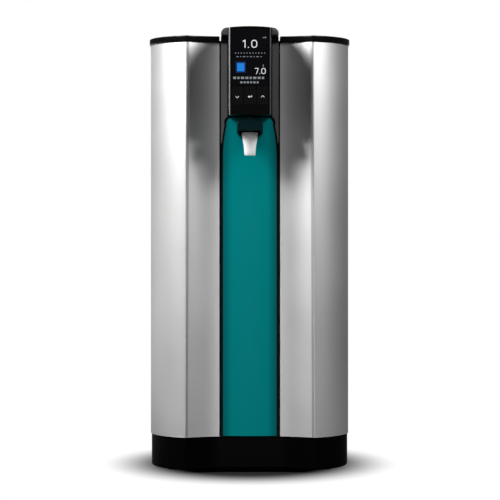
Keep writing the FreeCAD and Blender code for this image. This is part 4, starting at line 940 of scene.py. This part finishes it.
@dataclass(frozen=True)
class Plan:
    """Plan view of the casing that its covers, caps and tray share."""

    side: float = 119.9
    tangent: float = -79.0
    ridge: float = -145.0
    face: float = -131.0
    rear: float = 160.0
    edge: float = 36.2
    bow: float = 71.0
    run: float = 66.0
    ridge_foot: float = 76.4
    ridge_top: float = 74.4
    pivot_x: float = 115.4
    pivot_y: float = 155.5
    wing_steps: int = 28

    def wing(self, side: float, ridge: float, run: float) -> float:
        """Radius of the arc that meets the side tangentially and ends on the ridge."""
        return ((side - ridge) ** 2 + run ** 2) / (2.0 * (side - ridge))

    def outline(self, inset: float) -> list[Stop]:
        """Both wings and the recess between them.

        Args:
            inset: How far the path is drawn in.

        Returns:
            The closed path.
        """
        side = self.side - inset
        front = self.ridge + inset
        wing = self.wing(side, self.ridge_foot, self.run - inset)
        bow = self.bow + inset
        face = self.face + inset
        rear = self.rear - inset + Base.inset
        return both_sides([(-side, rear), (-side, self.tangent), (-self.ridge_foot, front, wing),
                           (-self.edge, face, -bow)])


PLAN = Plan()


@dataclass
class Covers:
    """The two thin side covers with their upright ridges and pivot posts."""

    wall: float = 3.0
    flange: float = 14.0
    foot: float = 43.0
    top: float = 511.2
    ear_foot: float = 509.2
    ear_reach: float = 9.0
    post_radius: float = 4.5
    ridge_wall: float = 1.15
    ridge_round: Round = (1.3, 5)
    rim_round: Round = (0.5, 2)

    def section(self, ridge: float) -> list[Stop]:
        """Thin J-shaped plan of the right cover.

        Args:
            ridge: How far its ridge is from the middle.

        Returns:
            The closed path.
        """
        outer = PLAN.wing(PLAN.side, ridge, PLAN.run)
        rear = PLAN.pivot_y - self.ear_reach
        inner = PLAN.side - self.wall
        return [
            (PLAN.side, rear),
            (PLAN.side, PLAN.tangent),
            (ridge, PLAN.ridge, -outer),
            (PLAN.edge, PLAN.face, PLAN.bow),
            (PLAN.edge, PLAN.face + self.flange),
            (PLAN.edge + self.wall, PLAN.face + self.flange),
            (PLAN.edge + self.wall, PLAN.face + self.wall),
            (ridge, PLAN.ridge + self.wall * self.ridge_wall, -(PLAN.bow + self.wall)),
            (inner, PLAN.tangent, outer - self.wall),
            (inner, rear),
        ]

    def build(self) -> None:
        """Make both covers."""
        self.make_cover("right_cover", "right_door", 1.0)
        self.make_cover("left_cover", "left_door", -1.0)

    def make_cover(self, name: str, body: str, side: float) -> None:
        """Loft one cover, round its ridge and rims, and add its pivot post.

        Args:
            name: The piece's name.
            body: The door that it rides on.
            side: 1 for the right and -1 for the left.
        """
        draft = Draft()
        draft.loft(self.section(PLAN.ridge_foot), self.section(PLAN.ridge_top), self.foot, self.top,
                   PLAN.wing_steps)
        draft.bevel(self.ridge_round, rim(Y, PLAN.ridge)).bevel(self.rim_round, self.on_rim)
        rear = PLAN.pivot_y - self.ear_reach
        draft.prism([rectangle(PLAN.side - self.wall, PLAN.side, rear, PLAN.pivot_y)],
                    self.foot, self.ear_foot)
        draft.turned(rectangle(0.0, self.post_radius, self.foot, self.ear_foot),
                     (PLAN.pivot_x, PLAN.pivot_y))
        draft.sided(side).piece(name, Finish.SILVER, body, name)

    def on_rim(self, edge: Edge) -> bool:
        """Whether an edge lies on the outer skin's upper or lower rim.

        Args:
            edge: The edge.

        Returns:
            Whether it is rounded.
        """
        middle = (edge.verts[0].co + edge.verts[1].co) / 2.0
        outer = middle.y < PLAN.face + self.wall or middle.x > PLAN.side - self.wall / 2.0
        return outer and rim(Z, self.foot, self.top)(edge)


@dataclass
class Caps:
    """The glossy caps over both covers and over the column."""

    foot: float = 511.8
    top: float = 519.0
    overhang: float = 1.6
    inner_x: float = 36.1
    groove: float = 1.7
    rim_round: Round = (2.4, 6)
    rear_corner: float = 5.0
    front_corner: float = 2.6
    nose: float = 0.8
    middle_round: Round = (0.9, 4)
    notch_half: float = 26.25
    notch_depth: float = 0.25
    seal_top: float = 513.6
    seal_lap: float = 0.2

    def outline(self) -> list[Stop]:
        """Plan of the right cap."""
        side = PLAN.side + self.overhang
        front = PLAN.face - self.overhang
        rear = PLAN.rear + self.overhang
        wing = PLAN.wing(side, PLAN.ridge_top, PLAN.run + self.overhang)
        return [
            (self.inner_x, rear),
            (self.inner_x, front + self.front_corner),
            (self.inner_x + self.front_corner, front - self.nose, self.front_corner),
            (PLAN.ridge_top, PLAN.ridge - self.overhang, -PLAN.bow),
            (side, PLAN.tangent, wing),
            (side, rear - self.rear_corner),
            (side - self.rear_corner, rear, self.rear_corner),
        ]

    def build(self) -> None:
        """Make the three caps."""
        for name, side in (("right_cap", 1.0), ("left_cap", -1.0)):
            draft = Draft().prism([self.outline()], self.foot, self.top)
            draft.bevel(self.rim_round, rim(Z, self.top, self.foot)).sided(side)
            draft.piece(name, Finish.GLOSS_BLACK, "casing", name)
        self.make_middle()
        self.make_seals()

    def make_middle(self) -> None:
        """Make the column's cap, notched for the head."""
        half = self.inner_x - self.groove
        front = PLAN.face - self.overhang
        rear = PLAN.rear + self.overhang
        notch = PLAN.face + self.notch_depth
        path = both_sides([(-half, rear), (-half, front), (-self.notch_half, front),
                           (-self.notch_half, notch)])
        draft = Draft().prism([path], self.foot, self.top)
        draft.bevel(self.middle_round, rim(Z, self.top))
        draft.piece("column_cap", Finish.GLOSS_BLACK, "casing", "column_cap")

    def make_seals(self) -> None:
        """Lay a soft strip in each seam between the caps."""
        span = (self.inner_x - self.groove - self.seal_lap, self.inner_x + self.seal_lap)
        draft = Draft().paired(span, (PLAN.face, PLAN.rear), (self.foot - self.seal_lap,
                                                              self.seal_top))
        draft.piece("seam_seals", Finish.RUBBER, "casing")


@dataclass
class Base:
    """The black tray that everything stands in."""

    inset: float = 1.2
    wall: float = 3.5
    lift: float = 4.0
    top: float = 42.4
    recess: float = 9.0
    foot_round: Round = (3.0, 5)
    rim_round: Round = (0.6, 3)
    post_radius: float = 3.3

    def build(self) -> None:
        """Make the tray with its rounded foot and its recess."""
        draft = Draft().prism([PLAN.outline(self.inset)], self.lift, self.top)
        draft.bevel(self.foot_round, rim(Z, self.lift))
        lid = [face for face in draft.mesh.faces if self.is_lid(face)]
        bmesh.ops.inset_region(draft.mesh, faces=lid, thickness=self.wall, use_even_offset=True)
        draft.sunk(lambda face: face in lid, (0.0, 0.0, -self.recess))
        draft.bevel(self.rim_round, rim(Z, self.top))
        for side in (PLAN.pivot_x, -PLAN.pivot_x):
            draft.turned(rectangle(0.0, self.post_radius, self.top - self.recess, self.top),
                         (side, PLAN.pivot_y))
        draft.piece("base_tray", Finish.BASE, "casing", "base_tray")

    def is_lid(self, face: Face) -> bool:
        """Whether a face is the tray's flat top."""
        return all(abs(vert.co.z - self.top) < SLACK for vert in face.verts)


@dataclass
class Panel:
    """The bowed coloured panel between the covers."""

    half: float = 31.9
    foot: float = 43.6
    top: float = 422.5
    shoulder_z: float = 375.0
    shoulder_top: float = 413.0
    shoulder_x: float = 27.6
    sweep: float = 170.0
    corner_x: float = 22.0
    corner: float = 8.5
    crown: float = 2.0
    edge_drop: float = 0.4
    back: float = -128.5
    rim_round: Round = (0.7, 3)
    slice_step: float = 3.0
    seal_across: Span = (34.0, 36.0)
    seal_along: Span = (-128.0, -118.0)
    seal_up: Span = (44.0, 500.0)

    def outline(self) -> list[Stop]:
        """Front view of the panel with its shoulders."""
        return both_sides([
            (-self.corner_x, self.top),
            (-self.shoulder_x, self.shoulder_top, self.corner),
            (-self.half, self.shoulder_z, self.sweep),
            (-self.half, self.foot),
        ])

    def build(self) -> None:
        """Make the panel: a flat slab, sliced upright and bowed."""
        front = PLAN.face - self.crown
        draft = Draft().prism([self.outline()], front, self.back).stood()
        count = int(self.half / self.slice_step)
        draft.sliced(X, [step * self.slice_step for step in range(-count, count + 1)])
        drop = self.crown + self.edge_drop

        def bow(place: Vector) -> Vector:
            """Bring a front vertex back towards the panel's long edges.

            Args:
                place: A vertex's place.

            Returns:
                Its new place.
            """
            if place.y > front + SLACK:
                return place
            return Vector((place.x, front + drop * (place.x / self.half) ** 2, place.z))

        draft.shaped(bow)
        draft.bevel(self.rim_round, lambda edge: sharp(edge) and max(
            vert.co.y for vert in edge.verts) < front + drop + LOOSE_SLACK)
        draft.piece("front_panel", Finish.TEAL, "casing", "front_panel")
        self.make_seals()

    def make_seals(self) -> None:
        """Stand a soft strip at both edges of the column, behind the gap beside each cover."""
        draft = Draft().paired(self.seal_across, self.seal_along, self.seal_up)
        draft.piece("door_seals", Finish.RUBBER, "casing")


@dataclass
class Head:
    """The glossy head: a wide housing on the column and a pod that carries the display."""

    pod_half: float = 26.0
    pod_foot: float = 423.5
    pod_top: float = 526.9
    pod_wall: float = 2.6
    front: float = -175.0
    fascia_back: float = -171.0
    glass_half: float = 22.4
    opening_foot: float = 434.5
    opening_top: float = 524.9
    edge_round: float = 3.2
    lip_round: Round = (0.9, 4)
    crown: float = 1.5
    half: float = 34.0
    cheek_round: Round = (6.0, 8)
    rim_round: Round = (1.4, 4)
    soft_angle: float = 20.0
    corner: float = 7.0
    top: float = 528.5
    start: float = -156.0
    end: float = -78.0
    slope_start: float = 40.0
    tail: float = 4.0
    slices: tuple[float, ...] = (-15.0, -7.5, 0.0, 7.5, 15.0)

    def build(self) -> None:
        """Make the housing, the pod and the fascia."""
        self.make_shell()
        self.make_fascia()

    def bow(self, half: float) -> float:
        """Radius of the arc that rises by the crown over a width."""
        return (half ** 2 + self.crown ** 2) / (2.0 * self.crown)

    def make_shell(self) -> None:
        """Make the pod's box and the wide housing behind it."""
        wall = PLAN.face - self.pod_wall
        half, shoulder = self.pod_half, self.pod_top - self.crown
        outer = both_sides([(-half, shoulder, self.bow(half)), (-half, self.pod_foot)])
        inner_half = half - self.pod_wall
        inner = rectangle(-inner_half, inner_half, self.pod_foot + self.pod_wall,
                          shoulder - self.pod_wall)
        pod = Draft().prism([outer, inner], self.fascia_back, wall)
        pod.prism([outer], wall, PLAN.face).stood()
        pod.piece("head_pod", Finish.GLOSS_BLACK, "casing", "head_shell")
        flat = self.half - self.corner
        level = self.top - self.crown
        foot = Caps.top
        housing = Draft().prism([[
            (-self.half, level - self.corner, self.corner),
            (-self.half, foot),
            (self.half, foot),
            (self.half, level - self.corner),
            (flat, level, self.corner),
            (-flat, level, self.bow(flat)),
        ]], self.start, self.end).stood()
        fall = self.top - foot - self.tail
        housing.trimmed((0.0, self.end - self.slope_start, self.top), (0.0, fall, self.slope_start))
        housing.bevel(self.cheek_round, self.on_cheek)
        housing.bevel(self.rim_round, lambda edge: sharp(edge, self.soft_angle)
                      and not at_level(edge, Z, foot))
        housing.piece("head_housing", Finish.HOUSING, "casing", "head_shell")

    def on_cheek(self, edge: Edge) -> bool:
        """Whether an edge is one of the housing's upright front edges."""
        outermost = all(abs(vert.co.x) > self.half - SLACK for vert in edge.verts)
        return outermost and sharp(edge, self.soft_angle) and at_level(edge, Y, self.start)

    def make_fascia(self) -> None:
        """Make the fascia: a slab with rounded long edges and an opening for glass and keys."""
        side = self.pod_half - self.edge_round
        shoulder = self.front + self.edge_round
        path = both_sides([(-self.pod_half, self.fascia_back), (-self.pod_half, shoulder),
                           (-side, self.front, self.edge_round)])
        draft = Draft().prism([path], self.pod_foot, self.pod_top)
        draft.sliced(X, [-self.glass_half, *self.slices, self.glass_half])
        draft.sliced(Z, [self.opening_foot, self.opening_top])
        draft.shaped(self.crowned)
        draft.sunk(self.in_opening, (0.0, self.fascia_back - self.front, 0.0))
        draft.bevel(self.lip_round, self.on_brow_or_chin)
        draft.piece("head_fascia", Finish.FASCIA, "casing", "head_fascia")

    def crowned(self, place: Vector) -> Vector:
        """Lower the fascia's top towards its sides.

        Args:
            place: A vertex's place.

        Returns:
            Its new place.
        """
        if place.z < self.pod_top - SLACK:
            return place
        return place - Vector((0.0, 0.0, self.crown * (place.x / self.pod_half) ** 2))

    def in_opening(self, face: Face) -> bool:
        """Whether a face lies inside the opening.

        Args:
            face: A face of the fascia.

        Returns:
            Whether it is sunk.
        """
        middle = face.calc_center_median()
        inside = self.opening_foot < middle.z < self.opening_top
        return inside and abs(middle.y - self.front) < SLACK and abs(middle.x) < self.glass_half

    def on_brow_or_chin(self, edge: Edge) -> bool:
        """Whether an edge is the fascia's upper or lower outer edge.

        Args:
            edge: The edge.

        Returns:
            Whether it is rounded.
        """
        level = at_level(edge, Z, self.pod_foot) or all(
            vert.co.z > self.pod_top - self.crown - LOOSE_SLACK for vert in edge.verts)
        return sharp(edge) and level and max(
            vert.co.y for vert in edge.verts) < self.fascia_back - SLACK


@dataclass(frozen=True)
class Row:
    """A row of short bars whose widths take turns."""

    left: float
    right: float
    middle: float
    height: float
    widths: tuple[float, ...]
    gap: float

    def bars(self) -> list[Stop]:
        """Lay the bars out.

        Returns:
            Left, right, lower and upper limit of each bar.
        """
        limits = []
        start = self.left
        while (stop := start + self.widths[len(limits) % len(self.widths)]) <= self.right:
            limits.append((start, stop, self.middle - self.height / 2.0,
                           self.middle + self.height / 2.0))
            start = stop + self.gap
        return limits


@dataclass(frozen=True)
class Number:
    """A plain number: its lower left corner, its height and the spacing as a share of that."""

    figures: str
    left: float
    foot: float
    height: float
    spacing: float


@dataclass
class Display:
    """The window and the lit marks behind it."""

    half: float = 22.15
    foot: float = 457.35
    top: float = 524.65
    front: float = -174.5
    thickness: float = 1.6
    corner: float = 0.6
    rim_round: Round = (0.2, 2)
    lift: float = 0.05
    rise: float = 0.03
    stroke: float = 0.115
    zero_width: float = 0.74
    zero_corner: float = 0.36
    one_width: float = 0.34
    one_flag: Triple = (0.86, 0.73, 0.84)
    seven_width: float = 0.62
    seven_foot: float = 0.2
    large: Number = Number("1.0", -8.4, 501.5, 9.4, 0.30)
    small: Number = Number("7.0", 5.7, 470.9, 7.0, 0.17)
    halo: Stop = (-16.7, -5.0, 472.4, 485.4)
    square: Stop = (-15.0, -6.5, 474.1, 483.7)
    corner_marks: tuple[Stop, ...] = ((15.0, 16.4, 512.9, 514.0), (17.0, 18.9, 512.9, 514.4),
                                      (15.0, 16.0, 479.6, 481.8))
    status_rows: tuple[Row, ...] = (Row(-17.4, 18.8, 495.4, 1.1, (1.2, 1.0, 1.4), 2.2),
                                    Row(-15.8, 15.8, 491.2, 0.9, (2.4, 1.2, 3.0, 1.6), 1.9))
    gauge_rows: tuple[Row, ...] = (Row(-19.6, 20.2, 466.4, 2.6, (3.4, 2.6, 3.8), 1.5),
                                   Row(-11.4, 12.6, 461.2, 2.2, (2.8, 2.2), 1.3))

    def build(self) -> None:
        """Make the window and its marks."""
        window = Draft().prism([rectangle(-self.half, self.half, self.foot, self.top, self.corner)],
                               self.front, self.front + self.thickness).stood()
        window.bevel(self.rim_round, rim(Y, self.front))
        window.piece("display_window", Finish.WINDOW, "casing", "display_window")
        self.make_number("reading_large", self.large)
        self.make_number("reading_small", self.small)
        self.make_bars("status_halo", [self.halo], Finish.PIXEL_DIM, 0.0)
        self.make_bars("status_square", [self.square], Finish.PIXEL_BLUE, self.rise)
        for name, limits in (("status_row", self.along(self.status_rows)),
                             ("status_corner", self.corner_marks),
                             ("gauge", self.along(self.gauge_rows))):
            self.make_bars(name, limits, Finish.PIXEL_GREY, self.rise)

    def along(self, rows: tuple[Row, ...]) -> list[Stop]:
        """The bars of some rows."""
        return [bar for row in rows for bar in row.bars()]

    def make_bars(self, name: str, limits: list[Stop], finish: Finish, rise: float) -> None:
        """Make thin lit rectangles on the window.

        Args:
            name: The piece's name.
            limits: Left, right, lower and upper limit of each rectangle.
            finish: Their light.
            rise: How far they stand out over the lowest marks.
        """
        draft = Draft()
        for bar in limits:
            draft.prism([rectangle(*bar)], self.front - self.lift - rise, self.front + self.lift)
        draft.stood().piece(name, finish, "casing")

    def make_number(self, name: str, number: Number) -> None:
        """Make a lit number from plain strokes.

        Args:
            name: The piece's name.
            number: What it says and where.
        """
        draft = Draft()
        left = number.left
        for figure in number.figures:
            width, outlines = self.strokes(figure, number.height)
            draft.prism([[(left + stop[0], number.foot + stop[1], *stop[2:]) for stop in outline]
                         for outline in outlines], self.front - self.lift, self.front + self.lift)
            left += width + number.spacing * number.height
        draft.stood().piece(name, Finish.PIXEL_WHITE, "casing")

    def strokes(self, figure: str, height: float) -> tuple[float, list[list[Stop]]]:
        """Shape of one figure from its lower left corner.

        Args:
            figure: A digit that the display shows, or the point.
            height: How tall a digit is.

        Returns:
            Its width and its outlines, the outer one first.
        """
        thick = self.stroke * height
        if figure == "0":
            width, corner = self.zero_width * height, self.zero_corner * height
            ring = rectangle(0.0, width, 0.0, height, corner)
            hole = rectangle(thick, width - thick, thick, height - thick, corner - thick)
            return width, [ring, hole]
        if figure == "1":
            width = self.one_width * height
            tip, under, throat = (share * height for share in self.one_flag)
            return width, [[(width - thick, 0.0), (width, 0.0), (width, height),
                            (width - thick, height), (0.0, tip), (0.0, under),
                            (width - thick, throat)]]
        if figure == "7":
            width, foot = self.seven_width * height, self.seven_foot * height
            return width, [[(foot, 0.0), (foot + thick, 0.0), (width, height - thick),
                            (width, height), (0.0, height), (0.0, height - thick),
                            (width - thick, height - thick)]]
        return thick, [rectangle(0.0, thick, 0.0, thick)]


@dataclass
class Keypad:
    """Three keys side by side, each with its mark."""

    pitch: float = 14.933
    gap: float = 0.5
    foot: float = 434.75
    top: float = 456.85
    front: float = -174.5
    back: float = -171.9
    mark_level: float = 444.4
    mark_half: float = 1.9
    mark_rise: float = 1.0
    stroke: float = 0.75
    lift: float = 0.05
    corner: float = 0.5
    rim_round: Round = (0.25, 2)
    arrow_shares: Stop = (1.25, 1.5, 0.5)

    def build(self) -> None:
        """Make the keys and their marks."""
        for step, name, mark in ((-1, "down", self.chevron(-1.0)), (0, "enter", self.arrow()),
                                 (1, "up", self.chevron(1.0))):
            middle = step * self.pitch
            half = (self.pitch - self.gap) / 2.0
            face = rectangle(middle - half, middle + half, self.foot, self.top, self.corner)
            key = Draft().prism([face], self.front, self.back).stood()
            key.bevel(self.rim_round, rim(Y, self.front))
            key.piece(f"key_{name}", Finish.KEY, f"{name}_key", f"key_{name}")
            sign = Draft().prism([[(middle + x, self.mark_level + z) for x, z in mark]],
                                 self.front - self.lift, self.front + self.lift).stood()
            sign.piece(f"mark_{name}", Finish.PIXEL_WHITE, f"{name}_key")

    def chevron(self, way: float) -> list[Span]:
        """Outline of an angle.

        Args:
            way: 1 where it points up and -1 where it points down.

        Returns:
            The outline round the mark's middle.
        """
        half, rise, stroke = self.mark_half, self.mark_rise, self.stroke
        return [(-half, -rise * way), (0.0, rise * way), (half, -rise * way),
                (half, (stroke - rise) * way), (0.0, (rise + stroke) * way),
                (-half, (stroke - rise) * way)]

    def arrow(self) -> list[Span]:
        """Outline of a left arrow with a raised tail.

        Returns:
            The outline round the mark's middle.
        """
        sizes = (self.mark_half, self.mark_rise, self.stroke)
        half, rise, thin = (size * share for size, share in zip(sizes, self.arrow_shares))
        return [(-half, 0.0), (-half + rise, -rise), (-half + rise, -thin), (half, -thin),
                (half, rise), (half - self.stroke, rise), (half - self.stroke, thin),
                (-half + rise, thin), (-half + rise, rise)]


@dataclass
class Spout:
    """The gabled hood and the white nozzle under it."""

    half: float = 15.2
    apex: float = 421.3
    eaves: float = 414.8
    foot: float = 400.0
    front_edge: float = 405.0
    front: float = -171.5
    back: float = -133.0
    wall: float = 2.6
    ceiling: float = 409.5
    shoulder: float = 3.5
    shoulder_rise: float = 1.2
    round_: float = 5.0
    crest: float = 3.6
    corner: float = 2.4
    ridge_half: float = 1.6
    ridge_drop: float = 0.4
    rim_round: Round = (1.6, 5)
    nozzle_y: float = -155.0
    nozzle_steps: int = 96
    boss_radius: float = 9.4
    boss_foot: float = 404.3
    bore: float = 2.4
    spigot: float = 5.0
    spigot_top: float = 408.7
    lap: float = 0.5
    nozzle_outside: tuple[Stop, ...] = ((5.9, 376.3), (6.5, 376.9, 0.6), (7.2, 387.0), (8.3, 393.0),
                                        (9.6, 402.7), (9.0, 403.3, 0.6))

    def build(self) -> None:
        """Make the hood and the nozzle."""
        self.make_hood()
        self.make_nozzle()

    def gable(self, half: float, notch: float) -> list[Stop]:
        """Front view of the hood with a notch from below.

        Args:
            half: Half the notch's width.
            notch: The level that the notch reaches.

        Returns:
            The closed path.
        """
        return [
            (-self.half, self.eaves - self.shoulder, self.round_),
            (-self.half, self.foot + self.corner),
            (-self.half + self.corner, self.foot, self.corner),
            (-half, self.foot),
            (-half, notch),
            (half, notch),
            (half, self.foot),
            (self.half - self.corner, self.foot),
            (self.half, self.foot + self.corner, self.corner),
            (self.half, self.eaves - self.shoulder),
            (self.half - self.shoulder, self.eaves + self.shoulder_rise, self.round_),
            (self.ridge_half, self.apex - self.ridge_drop),
            (-self.ridge_half, self.apex - self.ridge_drop, self.crest),
            (-self.half + self.shoulder, self.eaves + self.shoulder_rise),
        ]

    def make_hood(self) -> None:
        """Make the hood from a front wall, a hollow middle and a rear wall."""
        inner = self.half - self.wall
        draft = Draft().prism([self.gable(inner, self.front_edge)], self.front,
                              self.front + self.wall)
        draft.bevel(self.rim_round, rim(Z, self.front))
        draft.prism([self.gable(inner, self.ceiling)], self.front + self.wall,
                    self.back - self.wall)
        draft.prism([self.gable(inner, self.foot + self.lap)], self.back - self.wall, self.back)
        draft.stood()
        draft.turned(rectangle(self.spigot, self.boss_radius, self.boss_foot,
                               self.ceiling + self.lap), (0.0, self.nozzle_y))
        draft.piece("spout_hood", Finish.HOOD, "casing", "spout_hood")

    def make_nozzle(self) -> None:
        """Turn the nozzle."""
        foot, collar = (self.nozzle_outside[end][1] for end in (0, -1))
        draft = Draft().turned([
            (self.bore, foot),
            *self.nozzle_outside,
            (self.spigot, collar),
            (self.spigot, self.spigot_top),
            (self.bore, self.spigot_top),
        ], (0.0, self.nozzle_y), self.nozzle_steps)
        draft.piece("spout_nozzle", Finish.WHITE, "nozzle", "spout_nozzle")


# ---- surroundings ------------------------------------------------------------------------------

@dataclass(frozen=True)
class Lamp:
    """A lamp that points at the object: a rectangle, or a spot where it has a cone.

    Its turn is in degrees to the right of the object's front, its reach is its distance from the
    object's middle and its aim is the level there that it points at, in metres. Its power is in
    watts, its cone is a full angle in degrees, and the blend is the share of the cone that fades.
    """

    name: str
    turn: float
    reach: float
    height: float
    size: Span
    power: float
    aim: float = 0.3
    cone: float = 0.0
    blend: float = 0.14

    def hang(self) -> None:
        """Put the lamp in its place."""
        data = bpy.data.lights.new(self.name, "SPOT" if self.cone else "AREA")
        if self.cone:
            data.spot_size, data.spot_blend = math.radians(self.cone), self.blend
            data.shadow_soft_size = self.size[0] / 2.0
        else:
            data.shape = "RECTANGLE"
            data.size, data.size_y = self.size
        data.energy = self.power
        lamp = bpy.data.objects.new(self.name, data)
        angle = math.radians(self.turn)
        lamp.location = (self.reach * math.sin(angle), -self.reach * math.cos(angle), self.height)
        direction = Vector((0.0, 0.0, self.aim)) - lamp.location
        lamp.rotation_euler = direction.to_track_quat("-Z", "Y").to_euler()
        bpy.context.scene.collection.objects.link(lamp)


@dataclass
class Studio:
    """Floor, background, lamps and the camera, in metres."""

    camera_place: Triple = (-0.013, -2.511, 0.291)
    horizon_row: float = 228.0
    centre_column: float = 249.2
    lens: float = 144.0
    sensor: float = 36.0
    room_level: float = 0.38
    room_gloss: float = 0.04
    floor_size: float = 9.0
    floor_colour: Colour = (0.012, 0.012, 0.012)
    floor_bounce: Colour = (0.06, 0.06, 0.06)
    floor_roughness: float = 0.9
    floor_gleam: float = 0.1
    shadow_shape: Triple = (1.25, 1.0, 1.0)
    shadow_shift: Triple = (0.0, 0.03, 0.0)
    shadow_reach: Span = (0.122, 0.238)
    mirror_reach: Span = (0.9, 2.2)
    mirror_lean: float = 1.2
    mirror_front: Span = (-0.8, 0.2)
    backdrop_reach: Span = (0.93, 0.995)
    lamps: tuple[Lamp, ...] = (
        Lamp("left", -57.0, 1.2, 1.18, (0.36, 0.6), 28.0),
        Lamp("right", 56.0, 1.2, 1.18, (0.36, 0.6), 16.8),
        Lamp("side", -82.0, 1.1, 1.2, (0.45, 0.7), 9.0),
        Lamp("back", 180.0, 0.5, 1.7, (1.4, 1.0), 9.0),
        Lamp("fill", 0.0, 2.7, 0.15, (0.04, 0.04), 15.0, aim=-0.25, cone=26.5),
    )

    def build(self) -> None:
        """Make everything that isn't the object."""
        self.make_camera()
        self.make_floor()
        self.make_world()
        for lamp in self.lamps:
            lamp.hang()
        bpy.context.scene.view_settings.view_transform = "Standard"

    def make_camera(self) -> None:
        """A long lens a little above the middle, level with the bench."""
        data = bpy.data.cameras.new("camera")
        data.lens = self.lens
        data.sensor_width = self.sensor
        data.sensor_fit = "HORIZONTAL"
        data.shift_y = (self.horizon_row - FRAME_PIXELS / 2.0) / FRAME_PIXELS
        camera = bpy.data.objects.new("camera", data)
        focal_pixels = self.lens / self.sensor * FRAME_PIXELS
        offset = (self.centre_column - FRAME_PIXELS / 2.0) / focal_pixels
        yaw = math.atan2(self.camera_place[0], -self.camera_place[1]) + offset
        camera.location = self.camera_place
        camera.rotation_euler = (math.pi / 2.0, 0.0, yaw)
        bpy.context.scene.collection.objects.link(camera)
        bpy.context.scene.camera = camera

    def rays(self, sheet: NodeSheet) -> tuple[Socket, Socket, Socket]:
        """Which rays reach a surface.

        Args:
            sheet: The sheet to add to.

        Returns:
            Whether it is the camera's ray, one from gloss or glass, or a diffuse one.
        """
        ray = sheet.add("LightPath").outputs
        shine = sheet.arithmetic("MAXIMUM", ray["Is Glossy Ray"], ray["Is Transmission Ray"])
        return ray["Is Camera Ray"], shine, ray["Is Diffuse Ray"]

    def make_floor(self) -> None:
        """A wide floor that turns white away from the object and fades out round it as a painted
        shadow.

        Gloss and glass see it white too, but only far behind the object and less on its right.
        """
        draft = bmesh.new()
        bmesh.ops.create_grid(draft, x_segments=1, y_segments=1, size=self.floor_size)
        data = bpy.data.meshes.new("floor")
        draft.to_mesh(data)
        draft.free()
        floor = bpy.data.objects.new("floor", data)
        bpy.context.scene.collection.objects.link(floor)
        sheet = NodeSheet(bpy.data.materials.new("floor_paper"))
        view, shine, _ = self.rays(sheet)
        away = sheet.add("VectorMath", Vector=sheet.stretched(self.shadow_shape, self.shadow_shift))
        away.operation = "LENGTH"
        # Painted shadow: the camera's white glow fades out in an ellipse round the object.
        near = sheet.ramp(away.outputs["Value"], *self.shadow_reach)
        axes = sheet.axes
        depth = sheet.arithmetic("SUBTRACT", axes["Y"],
                                 sheet.arithmetic("MULTIPLY", axes["X"], self.mirror_lean))
        far = sheet.arithmetic("MULTIPLY", sheet.ramp(depth, *self.mirror_reach),
                               sheet.ramp(axes["Y"], *self.mirror_front))
        glow = sheet.arithmetic("MAXIMUM", sheet.arithmetic("MULTIPLY", shine, far),
                                sheet.arithmetic("MULTIPLY", view, near))
        sheet.shade(Base_Color=sheet.blended(view, self.floor_bounce, self.floor_colour),
                    Roughness=self.floor_roughness, Specular_IOR_Level=self.floor_gleam,
                    Emission_Color=WHITE, Emission_Strength=glow)
        data.materials.append(sheet.owner)

    def make_world(self) -> None:
        """A dim room with a white backdrop behind the object, which gloss and glass see too."""
        world = bpy.data.worlds.new("studio")
        bpy.context.scene.world = world
        sheet = NodeSheet(world, "Generated")
        view, shine, diffuse = self.rays(sheet)
        behind = sheet.ramp(sheet.axes["Y"], *self.backdrop_reach, self.room_gloss)
        seen = sheet.arithmetic("MAXIMUM", sheet.arithmetic("MULTIPLY", shine, behind), view)
        level = sheet.arithmetic("MAXIMUM", seen,
                                 sheet.arithmetic("MULTIPLY", diffuse, self.room_level))
        back = sheet.tree.nodes["Background"].inputs
        sheet.feed(back["Strength"], level)
        sheet.feed(back["Color"], WHITE)


def main() -> None:
    """Build every sub-assembly, then the surroundings."""
    logging.basicConfig(level=logging.INFO, format="%(name)s: %(message)s")
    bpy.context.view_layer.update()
    Kept().dress()
    for assembly in (Covers(), Caps(), Base(), Panel(), Head(), Display(), Keypad(), Spout()):
        assembly.build()
    Studio().build()


if __name__ == "__main__":
    main()
